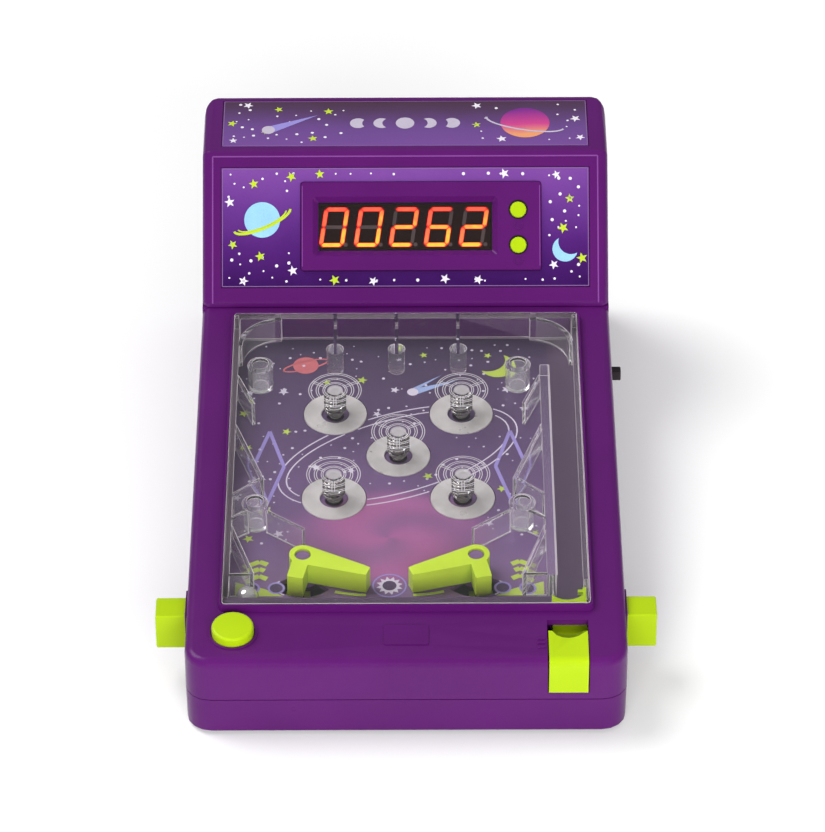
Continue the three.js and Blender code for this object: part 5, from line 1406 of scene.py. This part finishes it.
class PinballBuildStage(bpy.types.Operator):
    """Floor, light and camera"""
    bl_idname = "pinball.build_stage"
    bl_label = "Stage"
    floor_half = 6.0
    floor_glow = 0.15
    level_light = 0.14
    overhead_light = 0.3
    soft_light = 0.45
    key_power = 1.7
    key_angle = math.radians(36)
    key_from = (-1.2, 0.55, 1.8)
    front_power = 54.0
    front_size = (2.4, 1.0)
    front_from = (0.3, -2.2, 0.9)
    aim_pixel = (406.2, 662.2)
    frame_pixels = (825, 832)
    roll = math.radians(-0.2)

    def execute(self, context):
        self.camera()
        self.floor()
        self.world()
        self.sun()
        self.front_light()
        context.scene.view_settings.view_transform = "Standard"
        return {"FINISHED"}

    def camera(self):
        """The photograph's view, aimed so that the front edge lies at the aim pixel."""
        given = settings("stage")
        data = bpy.data.cameras.new("camera")
        data.lens = given.lens
        data.sensor_fit = "HORIZONTAL"
        data.sensor_width = 36
        data.clip_end = 50
        camera = link_object("camera", data)
        ahead = Vector((0, math.cos(given.elevation), -math.sin(given.elevation)))
        turn = Matrix.Rotation(self.roll, 3, -ahead)
        up = turn @ Vector((0, math.sin(given.elevation), math.cos(given.elevation)))
        across = turn @ Vector((1, 0, 0))
        wide, tall = self.frame_pixels
        pixel = given.distance * data.sensor_width / given.lens / wide
        right, down = self.aim_pixel[0] - wide / 2, self.aim_pixel[1] - tall / 2
        aim = Vector((0, FRONT_Y, FRONT_HEIGHT))
        camera.location = aim - ahead * given.distance - across * right * pixel + up * down * pixel
        camera.rotation_euler = Matrix((across, up, -ahead)).transposed().to_euler()
        bpy.context.scene.camera = camera

    def floor(self):
        mesh = bmesh.new()
        reach = self.floor_half
        mesh.faces.new([mesh.verts.new((x * reach, y * reach, 0))
                        for x, y in ((-1, -1), (1, -1), (1, 1), (-1, 1))])
        floor = new_object("floor", mesh)
        material, tree, shader = new_material("Pale floor")
        seen = maths(tree, "MAXIMUM", *self.mirror_and_camera_rays(tree))
        feed(tree, shader, {
            "Base Color": (0.86, 0.86, 0.86, 1), "Roughness": 0.9, "Specular IOR Level": 0.0,
            "Emission Strength": maths(tree, "MULTIPLY", seen, self.floor_glow),
            "Emission Color": (1, 1, 1, 1)})
        floor.data.materials.append(material)

    def mirror_and_camera_rays(self, tree):
        """Whether a ray comes by way of gloss or glass, and whether it comes from the camera."""
        light = add_node(tree, "ShaderNodeLightPath", {}).outputs
        return (maths(tree, "MAXIMUM", light["Is Glossy Ray"], light["Is Transmission Ray"]),
                light["Is Camera Ray"])

    def world(self):
        """A white surround that the camera sees, dimmer in reflections."""
        world = bpy.data.worlds.new("soft studio")
        bpy.context.scene.world = world
        world.use_nodes = True
        tree = world.node_tree
        where = add_node(tree, "ShaderNodeTexCoord", {})
        parts = add_node(tree, "ShaderNodeSeparateXYZ", {0: where.outputs["Generated"]})
        overhead = ranged(tree, parts.outputs[2], self.level_light, self.overhead_light, 0.05, 0.7)
        mirrored, seen = self.mirror_and_camera_rays(tree)
        soft = mixed_value(tree, mirrored, self.soft_light, overhead)
        feed(tree, tree.nodes["Background"], {
            "Color": (1, 1, 1, 1), "Strength": mixed_value(tree, seen, soft, 1.0)})

    def sun(self):
        """The main light, from behind on the left."""
        data = bpy.data.lights.new("key", "SUN")
        data.energy = self.key_power
        data.angle = self.key_angle
        lamp = link_object("key", data)
        lamp.rotation_euler = Vector(self.key_from).to_track_quat("Z", "Y").to_euler()

    def front_light(self):
        """A wide soft light in front, which lifts the front faces and shows in no mirror."""
        data = bpy.data.lights.new("front", "AREA")
        data.shape = "RECTANGLE"
        data.size, data.size_y = self.front_size
        data.energy = self.front_power
        lamp = link_object("front", data)
        lamp.location = self.front_from
        lamp.visible_glossy = False
        lamp.visible_transmission = False
        aim = Vector(self.front_from) - Vector((0, 0, FRONT_HEIGHT))
        lamp.rotation_euler = aim.to_track_quat("Z", "Y").to_euler()


class PinballPanel(bpy.types.Panel):
    """Lists the steps and their settings"""
    bl_idname = "VIEW3D_PT_pinball"
    bl_label = "Pinball game"
    bl_space_type = "VIEW_3D"
    bl_region_type = "UI"
    bl_category = "Pinball"

    def draw(self, context):
        for name in SETTINGS:
            box = self.layout.box()
            group = settings(name)
            for key in group.__annotations__:
                box.prop(group, key)
        for step in STEPS:
            self.layout.operator(step.bl_idname)


SETTINGS = {
    "case": PinballCaseSettings,
    "control": PinballControlSettings,
    "cover": PinballCoverSettings,
    "print": PinballPrintSettings,
    "display": PinballDisplaySettings,
    "stage": PinballStageSettings,
}
STEPS = (
    PinballBuildCase, PinballBuildControls, PinballBuildFlippers, PinballBuildPlayfield,
    PinballBuildBumpers, PinballBuildBall, PinballBuildCover, PinballBuildDisplay,
    PinballBuildLabels, PinballBuildUnderside, PinballFinishInside, PinballBuildStage,
)


def register():
    for name, group in SETTINGS.items():
        bpy.utils.register_class(group)
        setattr(bpy.types.Scene, f"pinball_{name}", PointerProperty(type=group))
    for step in STEPS:
        bpy.utils.register_class(step)
    bpy.utils.register_class(PinballPanel)


def unregister():
    bpy.utils.unregister_class(PinballPanel)
    for step in reversed(STEPS):
        bpy.utils.unregister_class(step)
    for name, group in reversed(SETTINGS.items()):
        delattr(bpy.types.Scene, f"pinball_{name}")
        bpy.utils.unregister_class(group)


def main():
    register()
    bpy.ops.pinball.build_case()
    bpy.ops.pinball.build_controls()
    bpy.ops.pinball.build_flippers()
    bpy.ops.pinball.build_playfield()
    bpy.ops.pinball.build_bumpers()
    bpy.ops.pinball.build_ball()
    bpy.ops.pinball.build_cover()
    bpy.ops.pinball.build_display()
    bpy.ops.pinball.build_labels()
    bpy.ops.pinball.build_underside()
    bpy.ops.pinball.finish_inside()
    bpy.ops.pinball.build_stage()


if __name__ == "__main__":
    main()
